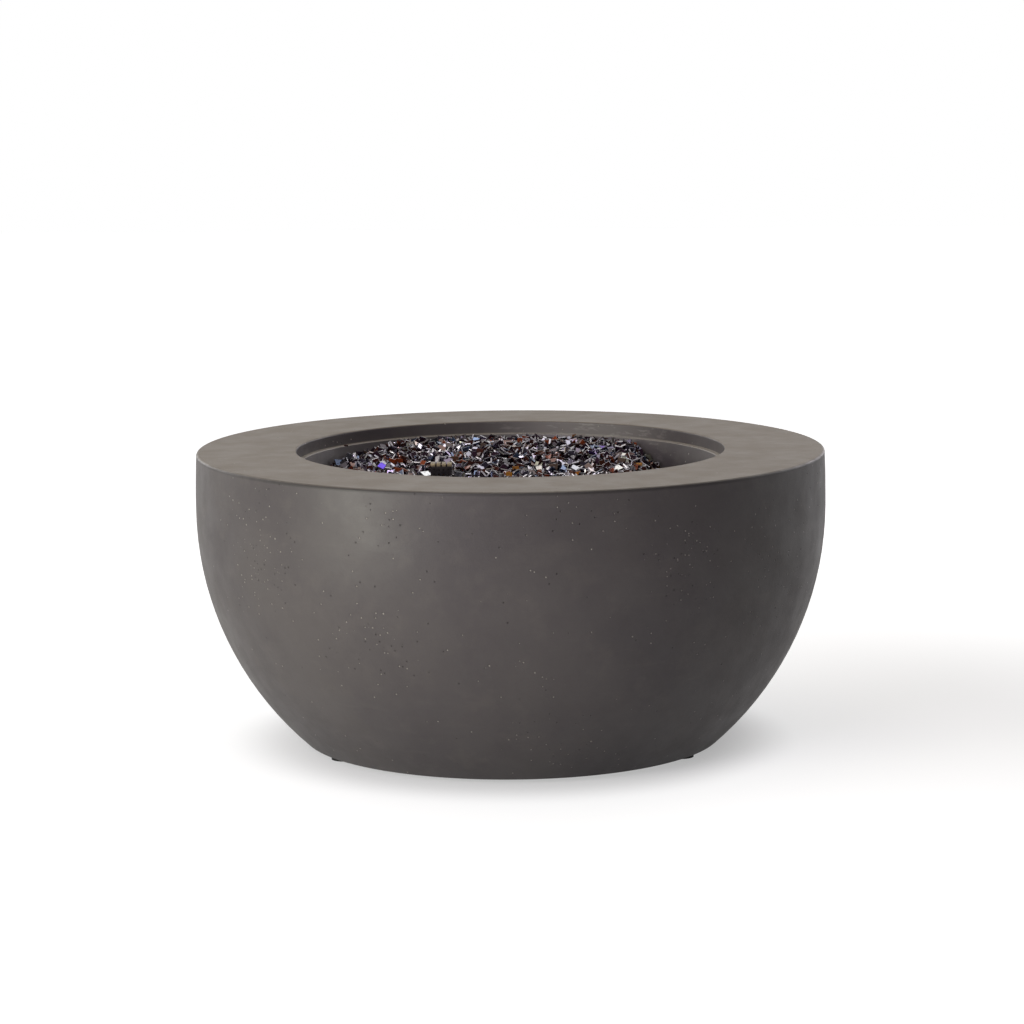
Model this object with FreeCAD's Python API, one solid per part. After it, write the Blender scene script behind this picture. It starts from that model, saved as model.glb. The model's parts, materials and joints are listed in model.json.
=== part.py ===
import FreeCAD, Part
import math
import os

from FreeCAD import Vector

os.makedirs("parts", exist_ok=True)

# A round concrete fire bowl for gas. Millimetres, +Z up, the controls face +Y.
# The origin is on the floor under the middle of the bowl.

# Overall form of the concrete bowl
BOWL_DIAMETER = 1067.0        # widest part, at the belly
BOWL_HEIGHT = 493.0           # underside of the base to the rim
BELLY_DEPTH = 96.0            # rim down to the widest level; below it the bowl is a sphere
RIM_DRAW_IN = 2.2             # how far the drum above the belly leans in at the rim
SHELL_WALL = 18.0
LIP_THICKNESS = 28.0
BASE_THICKNESS = 22.0
RIM_EDGE_RADIUS = 4.5
OPENING_EDGE_RADIUS = 3.0
SEAT_EDGE_RADIUS = 2.0
BASE_EDGE_RADIUS = 3.0

# The fire well that is cast into the bowl
RIM_WIDTH = 170.5             # belly's outside to the opening
LID_SEAT_DEPTH = 22.0         # rim down to the narrow seat for a lid
LID_SEAT_WIDTH = 8.0
WELL_DEPTH = 112.0            # rim down to the shelf that carries the pan
WELL_LEAN = 10.0              # degrees that the well wall leans in
WELL_WALL = 18.0
SHELF_WIDTH = 26.0

# Feet
FOOT_HEIGHT = 8.5
FOOT_DIAMETER = 44.0
FOOT_MARGIN = 32.4            # edge of the base to the middle of a foot
FOOT_ANGLES = (90.0, 210.0, 330.0)
FOOT_SCREW_DIAMETER = 6.0
FOOT_SCREW_LENGTH = 18.0
FOOT_HEAD_DIAMETER = 12.0
FOOT_HEAD_HEIGHT = 4.0
FOOT_RECESS_GAP = 0.5         # screw head to its recess in the pad
INSERT_WALL = 2.0
INSERT_END_ROOM = 1.0         # room past the end of a foot screw
THREAD_GAP = 0.05             # radial gap between a screw and what it turns into
DRIVE_WIDTH = 0.4             # key hexagon in a screw's head, of the head's diameter
DRIVE_DEPTH = 0.6             # depth of that hexagon, of the head's height
CUT_OVER = 1.0                # how far a cutting tool runs past the face it opens

# Burner pan
PAN_SHEET = 1.5
PAN_GAP = 3.0                 # pan edge to the well wall
PAN_LIP_HEIGHT = 20.0
PAN_HOLE_DIAMETER = 8.0
PAN_HOLE_MARGIN = 51.1        # edge of the pan to its drain holes
PAN_HOLE_COUNT = 12
PAN_STUB_GAP = 0.5            # burner stub to its hole in the pan
PAN_WINDOW_INSET = 1.0        # inside of the pilot cover to the window in the pan

# Burner
OUTER_RING_DIAMETER = 380.0
INNER_RING_DIAMETER = 160.0
BURNER_TUBE_DIAMETER = 19.0
BURNER_TUBE_WALL = 1.5
FEED_TUBE_DIAMETER = 16.0
PORT_DIAMETER = 2.6
OUTER_PORT_COUNT = 36
INNER_PORT_COUNT = 16
HUB_DIAMETER = 44.0
HUB_HEIGHT = 34.0
HUB_WALL = 3.0
STUB_DIAMETER = 20.0
STUB_BORE = 13.0
STUB_LENGTH = 28.0
LOCK_NUT_FLATS = 32.0
LOCK_NUT_THICKNESS = 7.0

# Air mixer and jet under the burner
MIXER_DIAMETER = 28.0
MIXER_LENGTH = 68.0
MIXER_SOCKET_DEPTH = 16.0
MIXER_BORE = 13.0
AIR_WINDOW_START = 2.0        # top of the jet to the air windows
AIR_WINDOW_HEIGHT = 20.0
AIR_WINDOW_WIDTH = 10.0
JET_DIAMETER = 10.0
JET_LENGTH = 16.0
JET_BORE = 1.6

# Fill
GLASS_HIGH_DEPTH = 29.0       # rim down to the glass along the far wall
GLASS_LOW_DEPTH = 72.0        # rim down to the glass where it is lowest
GLASS_FRONT = (0.63, 0.73, 0.0)      # share of the fall, and where in the well it starts and ends
GLASS_LEFT = (0.28, -0.51, -0.85)
GLASS_RIGHT = (0.97, 0.58, 0.755)
GLASS_LUMP = 2.0              # height of the lumps in the heap
GLASS_LUMP_PITCH = 72.0       # from a lump to the next hollow
GLASS_LUMP_SHIFT = (1.3, -0.4)       # radians
GLASS_GRID = 32               # steps of the heap's surface across the well
FILL_GAP = 1.0                # fill to the wall, the burner and the pilot cover

# Pilot assembly
PILOT_X = -118.0
PILOT_Y = 20.0
COVER_WIDTH = 36.0
COVER_DEPTH = 30.0
COVER_TOP_DEPTH = 28.0        # rim down to the top of the cover
COVER_SHEET = 1.0
COVER_BEND = 7.0
COVER_SLOT_WIDTH = 2.2
COVER_SLOT_COUNT = 3
COVER_SLOT_DROP = 6.0
COVER_HOLE_DIAMETER = 2.8
COVER_HOLE_PITCH = 8.0
COVER_HOLE_COLUMNS = 4
COVER_HOLE_ROWS = 7
COVER_HOLE_START = 4.8        # foot of the slots down to the first row of holes
COVER_FOOT = 12.0
COVER_FOOT_DEPTH = 20.0
COVER_SCREW_DIAMETER = 4.0
COVER_HEAD_DIAMETER = 7.2
COVER_HEAD_HEIGHT = 2.5
COVER_SCREW_LENGTH = 10.0
BRACKET_SHEET = 1.5
PILOT_SPACING = 11.0          # pilot burner to the electrode and to the thermocouple
PILOT_BURNER_DIAMETER = 11.0
PILOT_BURNER_HEIGHT = 58.0
PILOT_HOOD_DIAMETER = 13.0
PILOT_HOOD_HEIGHT = 8.0
PILOT_FLAME_SLOT = 4.0
PILOT_TUBE_ENGAGE = 29.0      # how far the pilot tube goes into its burner
ELECTRODE_DIAMETER = 6.0
ELECTRODE_LENGTH = 60.0
ELECTRODE_PIN_DIAMETER = 2.0
ELECTRODE_PIN_LENGTH = 16.0
THERMOCOUPLE_DIAMETER = 5.0
THERMOCOUPLE_LENGTH = 66.0
PILOT_TAIL = 9.0              # how far the electrode and thermocouple reach under the pan

# Control niche in the back of the bowl
NICHE_WIDTH = 170.0
NICHE_HEIGHT = 110.0
NICHE_DEPTH_BELOW_RIM = 175.5  # rim down to the middle of the niche
NICHE_DEPTH = 48.5            # belly's outside to the flat that the control plate lies on
NICHE_WALL = 15.0
NICHE_CORNER_RADIUS = 10.0
WINDOW_WIDTH = 114.0
WINDOW_HEIGHT = 66.0

# Control plate
PLATE_SHEET = 3.0
PLATE_GAP_X = 8.0             # plate edges to the niche wall
PLATE_GAP_Z = 4.0
PLATE_CORNER_RADIUS = 6.0
PLATE_SCREW_X = 66.0
PLATE_SCREW_Z = 40.0
PLATE_SCREW_DIAMETER = 5.0
PLATE_SCREW_LENGTH = 12.0
PLATE_HEAD_DIAMETER = 9.0
PLATE_HEAD_HEIGHT = 3.0
PLATE_HOLE_GAP = 0.2
VENT_SLOT_LENGTH = 34.0
VENT_SLOT_WIDTH = 3.0
VENT_SLOT_COUNT = 3
VENT_SLOT_PITCH = 42.0
VENT_SLOT_DROP = 28.0         # middle of the plate down to the vents

# Gas valve
VALVE_X = -33.0
VALVE_SIZE = 40.0
VALVE_LENGTH = 55.0
VALVE_REAR_WALL = 6.0
NOSE_DIAMETER = 16.0
NOSE_PROUD = 2.0              # valve nose past its nut
NOSE_NUT_FLATS = 24.0
NOSE_NUT_THICKNESS = 4.0
STEM_DIAMETER = 8.0
STEM_GAP = 0.06               # radial running gap of stem, plunger and buttons
STEM_COLLAR_DIAMETER = 15.0
STEM_COLLAR_THICKNESS = 3.0
STEM_TAIL_DIAMETER = 6.0
STEM_TAIL_LENGTH = 8.0
PLUNGER_DIAMETER = 18.0
PLUNGER_LENGTH = 10.0
KNOB_TRAVEL = 5.0
VALVE_SPRING_WIRE = 1.0
VALVE_SPRING_TURNS = 5
VALVE_SPRING_GAP = 1.2        # spring to the outside of the plunger
SPRING_CLOSED_GAP = 1.0       # between the turns of a spring that is pressed all the way
SPRING_END_GAP = 0.05         # end of a spring to what it presses on
REAR_PORT_X = 11.0
REAR_PORT_Z = 12.0
VALVE_PORT_DIAMETER = 9.0
VALVE_PORT_DEPTH = 9.0

# Control knob
KNOB_DIAMETER = 44.0
KNOB_SKIRT = 4.0
KNOB_GRIP_DIAMETER = 34.0
KNOB_HEIGHT = 22.0
KNOB_CLEARANCE = 1.0          # knob to the valve nose when it is pushed all the way
KNOB_EDGE_RADIUS = 2.0
KNOB_FLUTES = 18
KNOB_FLUTE_DIAMETER = 3.0
KNOB_BORE_DEPTH = 15.0
POINTER_LENGTH = 11.0
POINTER_WIDTH = 2.4
POINTER_DEPTH = 0.8
SET_SCREW_DIAMETER = 4.0
SET_SCREW_LENGTH = 8.0
SET_SCREW_KEY = 2.0
SET_SCREW_KEY_DEPTH = 2.6

# Push button spark igniter
IGNITER_X = 38.0
IGNITER_DIAMETER = 28.0
IGNITER_LENGTH = 85.0
NECK_DIAMETER = 22.0
NECK_PROUD = 1.0              # igniter neck past its nut
IGNITER_NUT_FLATS = 27.0
IGNITER_NUT_THICKNESS = 5.0
BUTTON_DIAMETER = 15.0
BUTTON_PROUD = 5.5
BUTTON_FLANGE_DIAMETER = 18.0
BUTTON_FLANGE_THICKNESS = 3.0
BUTTON_EDGE_RADIUS = 1.0
BUTTON_TRAVEL = 4.0
BUTTON_FRONT_WALL = 8.0
BUTTON_SPRING_WIRE = 0.8
BUTTON_SPRING_TURNS = 7
BUTTON_SPRING_GAP = 1.9       # spring to the outside of the button's flange
BATTERY_DIAMETER = 14.2
BATTERY_LENGTH = 50.5
BATTERY_GAP = 0.4
CAP_THICKNESS = 6.0
TERMINAL_DIAMETER = 6.0
TERMINAL_LENGTH = 6.0

# Gas lines and leads that the bowl holds
SUPPLY_LINE_DIAMETER = 14.0
BURNER_LINE_DIAMETER = 12.0
PILOT_TUBE_DIAMETER = 4.8
THERMO_LEAD_DIAMETER = 2.4
SPARK_LEAD_DIAMETER = 3.0
NUT_LENGTH = 14.0
NUT_WALL = 4.0
SUPPLY_RUN = 60.0             # last straight run up to the valve
RISE_TURN = 30.0              # degrees of each step where a line turns upwards
MIXER_RUN = 52.0              # last straight run up to the mixer
PILOT_TURN_RUN = 36.0
PILOT_RISE_RUN = 68.0
THERMO_TURN_RUN = 34.0
SPARK_TURN_RUN = 32.0

# Route of the supply line: shares of the way from the inlet to the valve along x, y and z
SUPPLY_ROUTE = (
    (0.0, 0.0, 0.222),
    (0.0, 0.066, 0.426),
    (0.0, 0.179, 0.544),
    (0.18, 0.361, 0.552),
    (0.55, 0.573, 0.473),
    (1.03, 0.821, 0.434),
    (1.0, 0.934, 0.560),
)

# Routes of the other lines: x past the port, share of the port's y, and rise over the port
BURNER_ROUTE = (
    (-50.0, 1.0, 0.0),
    (-95.0, 0.941, -4.0),
    (-120.0, 0.834, -20.0),
    (-112.0, 0.656, -54.0),
    (-79.0, 0.477, -104.0),
    (-29.0, 0.293, -140.0),
    (15.0, 0.131, -141.0),
    (39.0, 0.048, -113.0),
)
PILOT_ROUTE = (
    (0.0, 0.856, 0.0),
    (-20.0, 0.707, -2.0),
    (-44.0, 0.572, -10.0),
    (-66.0, 0.442, -20.0),
    (-83.0, 0.312, -29.0),
)
THERMO_ROUTE = (
    (0.0, 0.872, 0.0),
    (-20.0, 0.740, -3.0),
    (-42.0, 0.619, -11.0),
    (-61.0, 0.493, -19.0),
    (-75.0, 0.367, -25.0),
    (-83.0, 0.247, -28.0),
)
SPARK_ROUTE = (
    (0.0, 0.907, 0.0),
    (-11.0, 0.789, 2.0),
    (-33.0, 0.675, 1.0),
    (-62.0, 0.564, -3.0),
    (-90.0, 0.454, -9.0),
    (-115.0, 0.338, -15.0),
    (-136.0, 0.237, -19.0),
)

# Gas inlet in the base
BASE_HOLE_DIAMETER = 180.0
INLET_BRIDGE_WIDTH = 40.0
INLET_BRIDGE_SHEET = 3.0
BRIDGE_SCREW_MARGIN = 15.0    # edge of the base hole to the screws of the bridge
BRIDGE_END_MARGIN = 14.0      # screw to the end of the bridge
BRIDGE_SCREW_DIAMETER = 5.0
BRIDGE_SCREW_LENGTH = 14.0
INLET_THREAD_DIAMETER = 15.88
INLET_THREAD_LENGTH = 16.0
INLET_BODY_DIAMETER = 18.0
INLET_TOP_DIAMETER = 14.3
INLET_BORE = 8.0
INLET_HEX_FLATS = 24.0
INLET_HEX_THICKNESS = 6.0
INLET_TOP_LENGTH = 12.0

# Heat shield over the valve
SHIELD_SHEET = 1.2
SHIELD_WIDTH = 150.0
SHIELD_REACH = 72.0
SHIELD_FLANGE = 22.0
SHIELD_ABOVE_VALVE = 16.0
SHIELD_SCREW_X = 50.0
SHIELD_SCREW_DIAMETER = 4.0
SHIELD_SCREW_LENGTH = 8.0
SHIELD_HEAD_DIAMETER = 7.2
SHIELD_HEAD_HEIGHT = 2.5

# Levels and radii that follow from the sizes above
BASE_Z = FOOT_HEIGHT
RIM_Z = BASE_Z + BOWL_HEIGHT
BELLY_Z = RIM_Z - BELLY_DEPTH
BELLY_R = BOWL_DIAMETER / 2
RIM_R = BELLY_R - RIM_DRAW_IN
BASE_R = math.sqrt(BELLY_R**2 - (BELLY_Z - BASE_Z) ** 2)
FOOT_R = BASE_R - FOOT_MARGIN
BASE_FLOOR_Z = BASE_Z + BASE_THICKNESS
INNER_R = BELLY_R - SHELL_WALL
LIP_Z = RIM_Z - LIP_THICKNESS
SEAT_Z = RIM_Z - LID_SEAT_DEPTH
SHELF_Z = RIM_Z - WELL_DEPTH
SHELF_UNDER_Z = SHELF_Z - WELL_WALL
OPENING_R = BELLY_R - RIM_WIDTH
WELL_TOP_R = OPENING_R - LID_SEAT_WIDTH
LEAN = math.tan(math.radians(WELL_LEAN))


def well_r(z):
    """Radius of the well wall at height z."""
    return WELL_TOP_R - (SEAT_Z - z) * LEAN


SHELF_R = well_r(SHELF_Z) - SHELF_WIDTH
PAN_R = well_r(SHELF_Z) - PAN_GAP
PAN_HOLE_R = PAN_R - PAN_HOLE_MARGIN
PAN_FLOOR_Z = SHELF_Z + PAN_SHEET
RING_Z = SHELF_Z + PAN_LIP_HEIGHT
TUBE_R = BURNER_TUBE_DIAMETER / 2
COVER_TOP_Z = RIM_Z - COVER_TOP_DEPTH
BRACKET_Z = PAN_FLOOR_Z + BRACKET_SHEET
NICHE_Z = RIM_Z - NICHE_DEPTH_BELOW_RIM
NICHE_FLOOR_Y = BELLY_R - NICHE_DEPTH
PLATE_FRONT_Y = NICHE_FLOOR_Y + PLATE_SHEET
NICHE_BACK_Y = NICHE_FLOOR_Y - NICHE_WALL
VALVE_BACK_Y = NICHE_FLOOR_Y - VALVE_LENGTH
VALVE_NOSE_Y = PLATE_FRONT_Y + NOSE_NUT_THICKNESS + NOSE_PROUD
CHAMBER_BACK_Y = VALVE_BACK_Y + VALVE_REAR_WALL
VALVE_SPRING_LENGTH = VALVE_SPRING_TURNS * (VALVE_SPRING_WIRE + SPRING_CLOSED_GAP) + KNOB_TRAVEL
PLUNGER_BACK_Y = CHAMBER_BACK_Y + VALVE_SPRING_LENGTH
PLUNGER_FRONT_Y = PLUNGER_BACK_Y + PLUNGER_LENGTH
COLLAR_FRONT_Y = PLUNGER_FRONT_Y + STEM_COLLAR_THICKNESS
KNOB_BACK_Y = VALVE_NOSE_Y + KNOB_TRAVEL + KNOB_CLEARANCE
KNOB_FRONT_Y = KNOB_BACK_Y + KNOB_HEIGHT
IGNITER_BACK_Y = NICHE_FLOOR_Y - IGNITER_LENGTH
IGNITER_FRONT_Y = PLATE_FRONT_Y + IGNITER_NUT_THICKNESS + NECK_PROUD
BUTTON_SPRING_LENGTH = BUTTON_SPRING_TURNS * (BUTTON_SPRING_WIRE + SPRING_CLOSED_GAP) + BUTTON_TRAVEL
MIXER_TOP_Z = PAN_FLOOR_Z - STUB_LENGTH + MIXER_SOCKET_DEPTH
MIXER_BOTTOM_Z = MIXER_TOP_Z - MIXER_LENGTH
BRIDGE_TOP_Z = BASE_FLOOR_Z + INLET_BRIDGE_SHEET
INLET_TOP_Z = BRIDGE_TOP_Z + INLET_HEX_THICKNESS + INLET_TOP_LENGTH
BRIDGE_SCREW_X = BASE_HOLE_DIAMETER / 2 + BRIDGE_SCREW_MARGIN

X_AXIS = Vector(1, 0, 0)
Y_AXIS = Vector(0, 1, 0)
Z_AXIS = Vector(0, 0, 1)


def cylinder(diameter, start, axis, length):
    """Solid rod from start along axis."""
    return Part.makeCylinder(diameter / 2, length, Vector(*start), axis)


def tube(outer, inner, start, axis, length):
    """Rod with a through bore."""
    return cylinder(outer, start, axis, length).cut(cylinder(inner, start, axis, length))


def block(low, high):
    """Box between two corners."""
    size = Vector(*high) - Vector(*low)
    return Part.makeBox(size.x, size.y, size.z, Vector(*low))


def hexagon(flats, start, axis, length):
    """Hexagon bar from start along axis."""
    corner = flats / math.sqrt(3)
    side = X_AXIS if abs(axis.x) < 0.5 else Y_AXIS
    other = axis.cross(side)
    points = []
    for k in range(7):
        turn = math.radians(60 * k)
        points.append(Vector(*start) + side * (corner * math.cos(turn)) + other * (corner * math.sin(turn)))
    face = Part.Face(Part.makePolygon(points))
    return face.extrude(Vector(axis) * length)


def hex_nut(flats, bore, start, axis, length):
    """Plain hexagon nut."""
    return hexagon(flats, start, axis, length).cut(cylinder(bore, start, axis, length))


def lathe(start, *steps):
    """Solid turned about Z from (r, z) points. A step of two points is an arc through the first of them."""
    edges = []
    here = Vector(start[0], 0, start[1])
    for step in [*steps, start]:
        if isinstance(step[0], tuple):
            middle = Vector(step[0][0], 0, step[0][1])
            end = Vector(step[1][0], 0, step[1][1])
            edges.append(Part.Arc(here, middle, end).toShape())
        else:
            end = Vector(step[0], 0, step[1])
            edges.append(Part.LineSegment(here, end).toShape())
        here = end
    face = Part.Face(Part.Wire(edges))
    return face.revolve(Vector(0, 0, 0), Z_AXIS, 360)


def sphere_arc(radius, z_low, z_high):
    """Two points of a sphere about the belly's middle: half way up the arc, and its upper end."""
    low = math.asin((z_low - BELLY_Z) / radius)
    high = math.asin((z_high - BELLY_Z) / radius)
    middle = (low + high) / 2
    return (
        (radius * math.cos(middle), BELLY_Z + radius * math.sin(middle)),
        (radius * math.cos(high), BELLY_Z + radius * math.sin(high)),
    )


def round_edges(shape, radius, at):
    """Fillets the circular edges that lie at the (r, z) places in at."""
    chosen = []
    for edge in shape.Edges:
        curve = edge.Curve
        if not isinstance(curve, Part.Circle):
            continue
        for r, z in at:
            if abs(curve.Radius - r) < 0.01 and abs(curve.Center.z - z) < 0.01:
                chosen.append(edge)
    return shape.makeFillet(radius, chosen)


def save(shape, node):
    """Writes one node. A group is a compound of separate solids."""
    shape.exportStep("parts/" + node + ".step")


def group(shapes):
    """Separate solids under one name."""
    return Part.makeCompound(shapes)


def tangent_arc(start, corner, end):
    """Arc from start to end whose end tangents meet at corner."""
    middle = (start + end) * 0.5
    half_chord = (end - start).Length / 2
    base_angle = math.acos(half_chord / (corner - start).Length)
    toward = (corner - middle).normalize()
    return Part.Arc(start, middle + toward * (half_chord * math.tan(base_angle / 2)), end).toShape()


def biarc(start, start_tangent, end, end_tangent):
    """Two arcs that meet smoothly, from start to end along the given unit tangents."""
    chord = end - start
    square = 2 * (1 - start_tangent.dot(end_tangent))
    linear = 2 * chord.dot(start_tangent + end_tangent)
    leg = (math.sqrt(linear**2 + 4 * square * chord.dot(chord)) - linear) / (2 * square)
    first = start + start_tangent * leg
    second = end - end_tangent * leg
    joint = (first + second) * 0.5
    return [tangent_arc(start, first, joint), tangent_arc(joint, second, end)]


def compression_spring(wire, turns, mean_diameter, start_y, length, x, z):
    """Open wound spring along Y on biarcs of a quarter turn, its wire inside the given length."""
    radius = mean_diameter / 2
    first_y = start_y + wire / 2 + SPRING_END_GAP
    quarter_rise = (length - wire - 2 * SPRING_END_GAP) / turns / 4
    places = []
    tangents = []
    for k in range(4 * turns + 1):
        turn = math.pi / 2 * k
        across = radius * math.cos(turn)
        up = radius * math.sin(turn)
        places.append(Vector(x + across, first_y + quarter_rise * k, z + up))
        along = Vector(-up, quarter_rise / (math.pi / 2), across)
        tangents.append(along.normalize())
    edges = []
    for k in range(4 * turns):
        edges.extend(biarc(places[k], tangents[k], places[k + 1], tangents[k + 1]))
    profile = Part.Wire(Part.Circle(places[0], tangents[0], wire / 2).toShape())
    return Part.Wire(edges).makePipeShell([profile], True, False)


def line_path(points, name, diameter):
    """Wire of straight runs joined by tangent arcs, as large as the runs allow."""
    places = [Vector(*p) for p in points]
    edges = []
    here = places[0]
    radii = []
    for before, corner, after in zip(places, places[1:], places[2:]):
        arrive = (corner - before).normalize()
        leave = (after - corner).normalize()
        turn = arrive.getAngle(leave)
        cut_back = 0.45 * min((corner - before).Length, (after - corner).Length)
        radii.append(cut_back / math.tan(turn / 2))
        arc_start = corner - arrive * cut_back
        arc_end = corner + leave * cut_back
        inward = (leave - arrive).normalize()
        apex = corner + inward * (radii[-1] / math.cos(turn / 2) - radii[-1])
        edges.append(Part.LineSegment(here, arc_start).toShape())
        edges.append(Part.Arc(arc_start, apex, arc_end).toShape())
        here = arc_end
    edges.append(Part.LineSegment(here, places[-1]).toShape())
    print(name, "smallest bend radius", round(min(radii), 1), "of diameter", diameter)
    return Part.Wire(edges)


def flexible_line(points, diameter, name):
    """Round line along a path, with its volume set against section times length."""
    path = line_path(points, name, diameter)
    start = Vector(*points[0])
    direction = Vector(*points[1]) - start
    profile = Part.Wire(Part.Circle(start, direction, diameter / 2).toShape())
    solid = path.makePipeShell([profile], True, False)
    expected = math.pi * (diameter / 2) ** 2 * path.Length
    print(name, "length", round(path.Length, 1), "volume ratio", round(solid.Volume / expected, 4))
    return solid


def line_nut(diameter, start, axis):
    """Nut at the end of a gas line."""
    return hex_nut(diameter + 2 * NUT_WALL, diameter + 2 * THREAD_GAP, start, axis, NUT_LENGTH)


def screw(diameter, length, head_diameter, head_height, seat, axis):
    """Pan head screw: seat is under its head, axis points from the seat to the head."""
    shank = cylinder(diameter, seat, axis * -1, length)
    head = cylinder(head_diameter, seat, axis, head_height)
    key_start = Vector(*seat) + axis * (head_height * (1 - DRIVE_DEPTH))
    drive = hexagon(head_diameter * DRIVE_WIDTH, key_start, axis, head_height)
    return shank.fuse(head).cut(drive).removeSplitter()


def polar(radius, degrees, z):
    """Point at an angle round the bowl's axis."""
    turn = math.radians(degrees)
    return (radius * math.cos(turn), radius * math.sin(turn), z)


def foot_places(z):
    """The middle of each foot at height z."""
    return [polar(FOOT_R, angle, z) for angle in FOOT_ANGLES]


def niche_screw_places(half_x, half_z, y):
    """Four places round the middle of the niche."""
    return [(sx * half_x, y, NICHE_Z + sz * half_z) for sx in (-1, 1) for sz in (-1, 1)]


def shield_screw_places(y):
    """The two places of the heat shield's screws."""
    z = shield_z() + SHIELD_FLANGE / 2
    return [(sx * SHIELD_SCREW_X, y, z) for sx in (-1, 1)]


def shield_z():
    """Underside of the heat shield."""
    return NICHE_Z + VALVE_SIZE / 2 + SHIELD_ABOVE_VALVE


def insert_diameter(screw_diameter):
    """Outside of a threaded insert."""
    return screw_diameter + 2 * THREAD_GAP + 2 * INSERT_WALL


def bowl_outside():
    """The bowl as a full body, without hollows."""
    belly_arc = sphere_arc(BELLY_R, BASE_Z, BELLY_Z)
    drum_middle = (BELLY_R - RIM_DRAW_IN / 4, (BELLY_Z + RIM_Z) / 2)
    body = lathe((0, BASE_Z), (BASE_R, BASE_Z), belly_arc, (drum_middle, (RIM_R, RIM_Z)), (0, RIM_Z))
    body = round_edges(body, RIM_EDGE_RADIUS, [(RIM_R, RIM_Z)])
    return round_edges(body, BASE_EDGE_RADIUS, [(BASE_R, BASE_Z)])


def bowl_hollow():
    """The closed space between the outer wall and the fire well."""
    floor_r = math.sqrt(INNER_R**2 - (BELLY_Z - BASE_FLOOR_Z) ** 2)
    top_r = INNER_R - RIM_DRAW_IN
    return lathe(
        (0, BASE_FLOOR_Z),
        (floor_r, BASE_FLOOR_Z),
        sphere_arc(INNER_R, BASE_FLOOR_Z, BELLY_Z),
        (top_r, LIP_Z),
        (well_r(LIP_Z) + WELL_WALL, LIP_Z),
        (well_r(SHELF_UNDER_Z) + WELL_WALL, SHELF_UNDER_Z),
        (0, SHELF_UNDER_Z),
    )


def fire_well():
    """The open well above the shelf, its lid seat and the hole inside the shelf."""
    above = RIM_Z + RIM_EDGE_RADIUS
    well = lathe(
        (0, SHELF_UNDER_Z),
        (SHELF_R, SHELF_UNDER_Z),
        (SHELF_R, SHELF_Z),
        (well_r(SHELF_Z), SHELF_Z),
        (WELL_TOP_R, SEAT_Z),
        (OPENING_R, SEAT_Z),
        (OPENING_R, above),
        (0, above),
    )
    return well


def niche_block():
    """Thickened wall behind and around the control niche."""
    half_x = NICHE_WIDTH / 2 + NICHE_WALL
    half_z = NICHE_HEIGHT / 2 + NICHE_WALL
    return block((-half_x, NICHE_BACK_Y, NICHE_Z - half_z), (half_x, BELLY_R, NICHE_Z + half_z))


def niche_pocket():
    """The hollow of the niche, with rounded corners, open to the outside."""
    half_x = NICHE_WIDTH / 2
    half_z = NICHE_HEIGHT / 2
    pocket = block((-half_x, NICHE_FLOOR_Y, NICHE_Z - half_z), (half_x, BOWL_DIAMETER, NICHE_Z + half_z))
    edges = [e for e in pocket.Edges if abs(e.tangentAt(e.FirstParameter).y) > 0.99]
    return pocket.makeFillet(NICHE_CORNER_RADIUS, edges)


def make_bowl_shell():
    outside = bowl_outside()
    shell = outside.cut(bowl_hollow()).cut(fire_well())
    shell = round_edges(shell, OPENING_EDGE_RADIUS, [(OPENING_R, RIM_Z)])
    shell = round_edges(shell, SEAT_EDGE_RADIUS, [(WELL_TOP_R, SEAT_Z)])
    shell = shell.fuse(outside.common(niche_block()))
    window = block(
        (-WINDOW_WIDTH / 2, NICHE_BACK_Y - CUT_OVER, NICHE_Z - WINDOW_HEIGHT / 2),
        (WINDOW_WIDTH / 2, NICHE_FLOOR_Y + CUT_OVER, NICHE_Z + WINDOW_HEIGHT / 2),
    )
    holes = [niche_pocket(), window, cylinder(BASE_HOLE_DIAMETER, (0, 0, 0), Z_AXIS, BASE_FLOOR_Z + CUT_OVER)]
    for place in foot_places(BASE_Z):
        holes.append(cylinder(insert_diameter(FOOT_SCREW_DIAMETER), place, Z_AXIS, foot_insert_length()))
    for place in niche_screw_places(PLATE_SCREW_X, PLATE_SCREW_Z, NICHE_FLOOR_Y):
        holes.append(cylinder(insert_diameter(PLATE_SCREW_DIAMETER), place, Y_AXIS * -1, PLATE_SCREW_LENGTH))
    for sx in (-1, 1):
        place = (sx * BRIDGE_SCREW_X, 0, BASE_FLOOR_Z)
        bridge_insert = insert_diameter(BRIDGE_SCREW_DIAMETER)
        holes.append(cylinder(bridge_insert, place, Z_AXIS * -1, BRIDGE_SCREW_LENGTH))
    for place in shield_screw_places(NICHE_BACK_Y):
        holes.append(cylinder(insert_diameter(SHIELD_SCREW_DIAMETER), place, Y_AXIS, SHIELD_SCREW_LENGTH))
    return cut_all(shell, holes)


def foot_insert_length():
    """The part of a foot screw that is above the foot, plus room under its end."""
    return FOOT_SCREW_LENGTH - (FOOT_HEIGHT - FOOT_HEAD_HEIGHT - THREAD_GAP) + INSERT_END_ROOM


def insert(screw_diameter, place, axis, length):
    """Threaded brass insert, its thread drawn plain."""
    return tube(insert_diameter(screw_diameter), screw_diameter + 2 * THREAD_GAP, place, axis, length)


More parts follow.
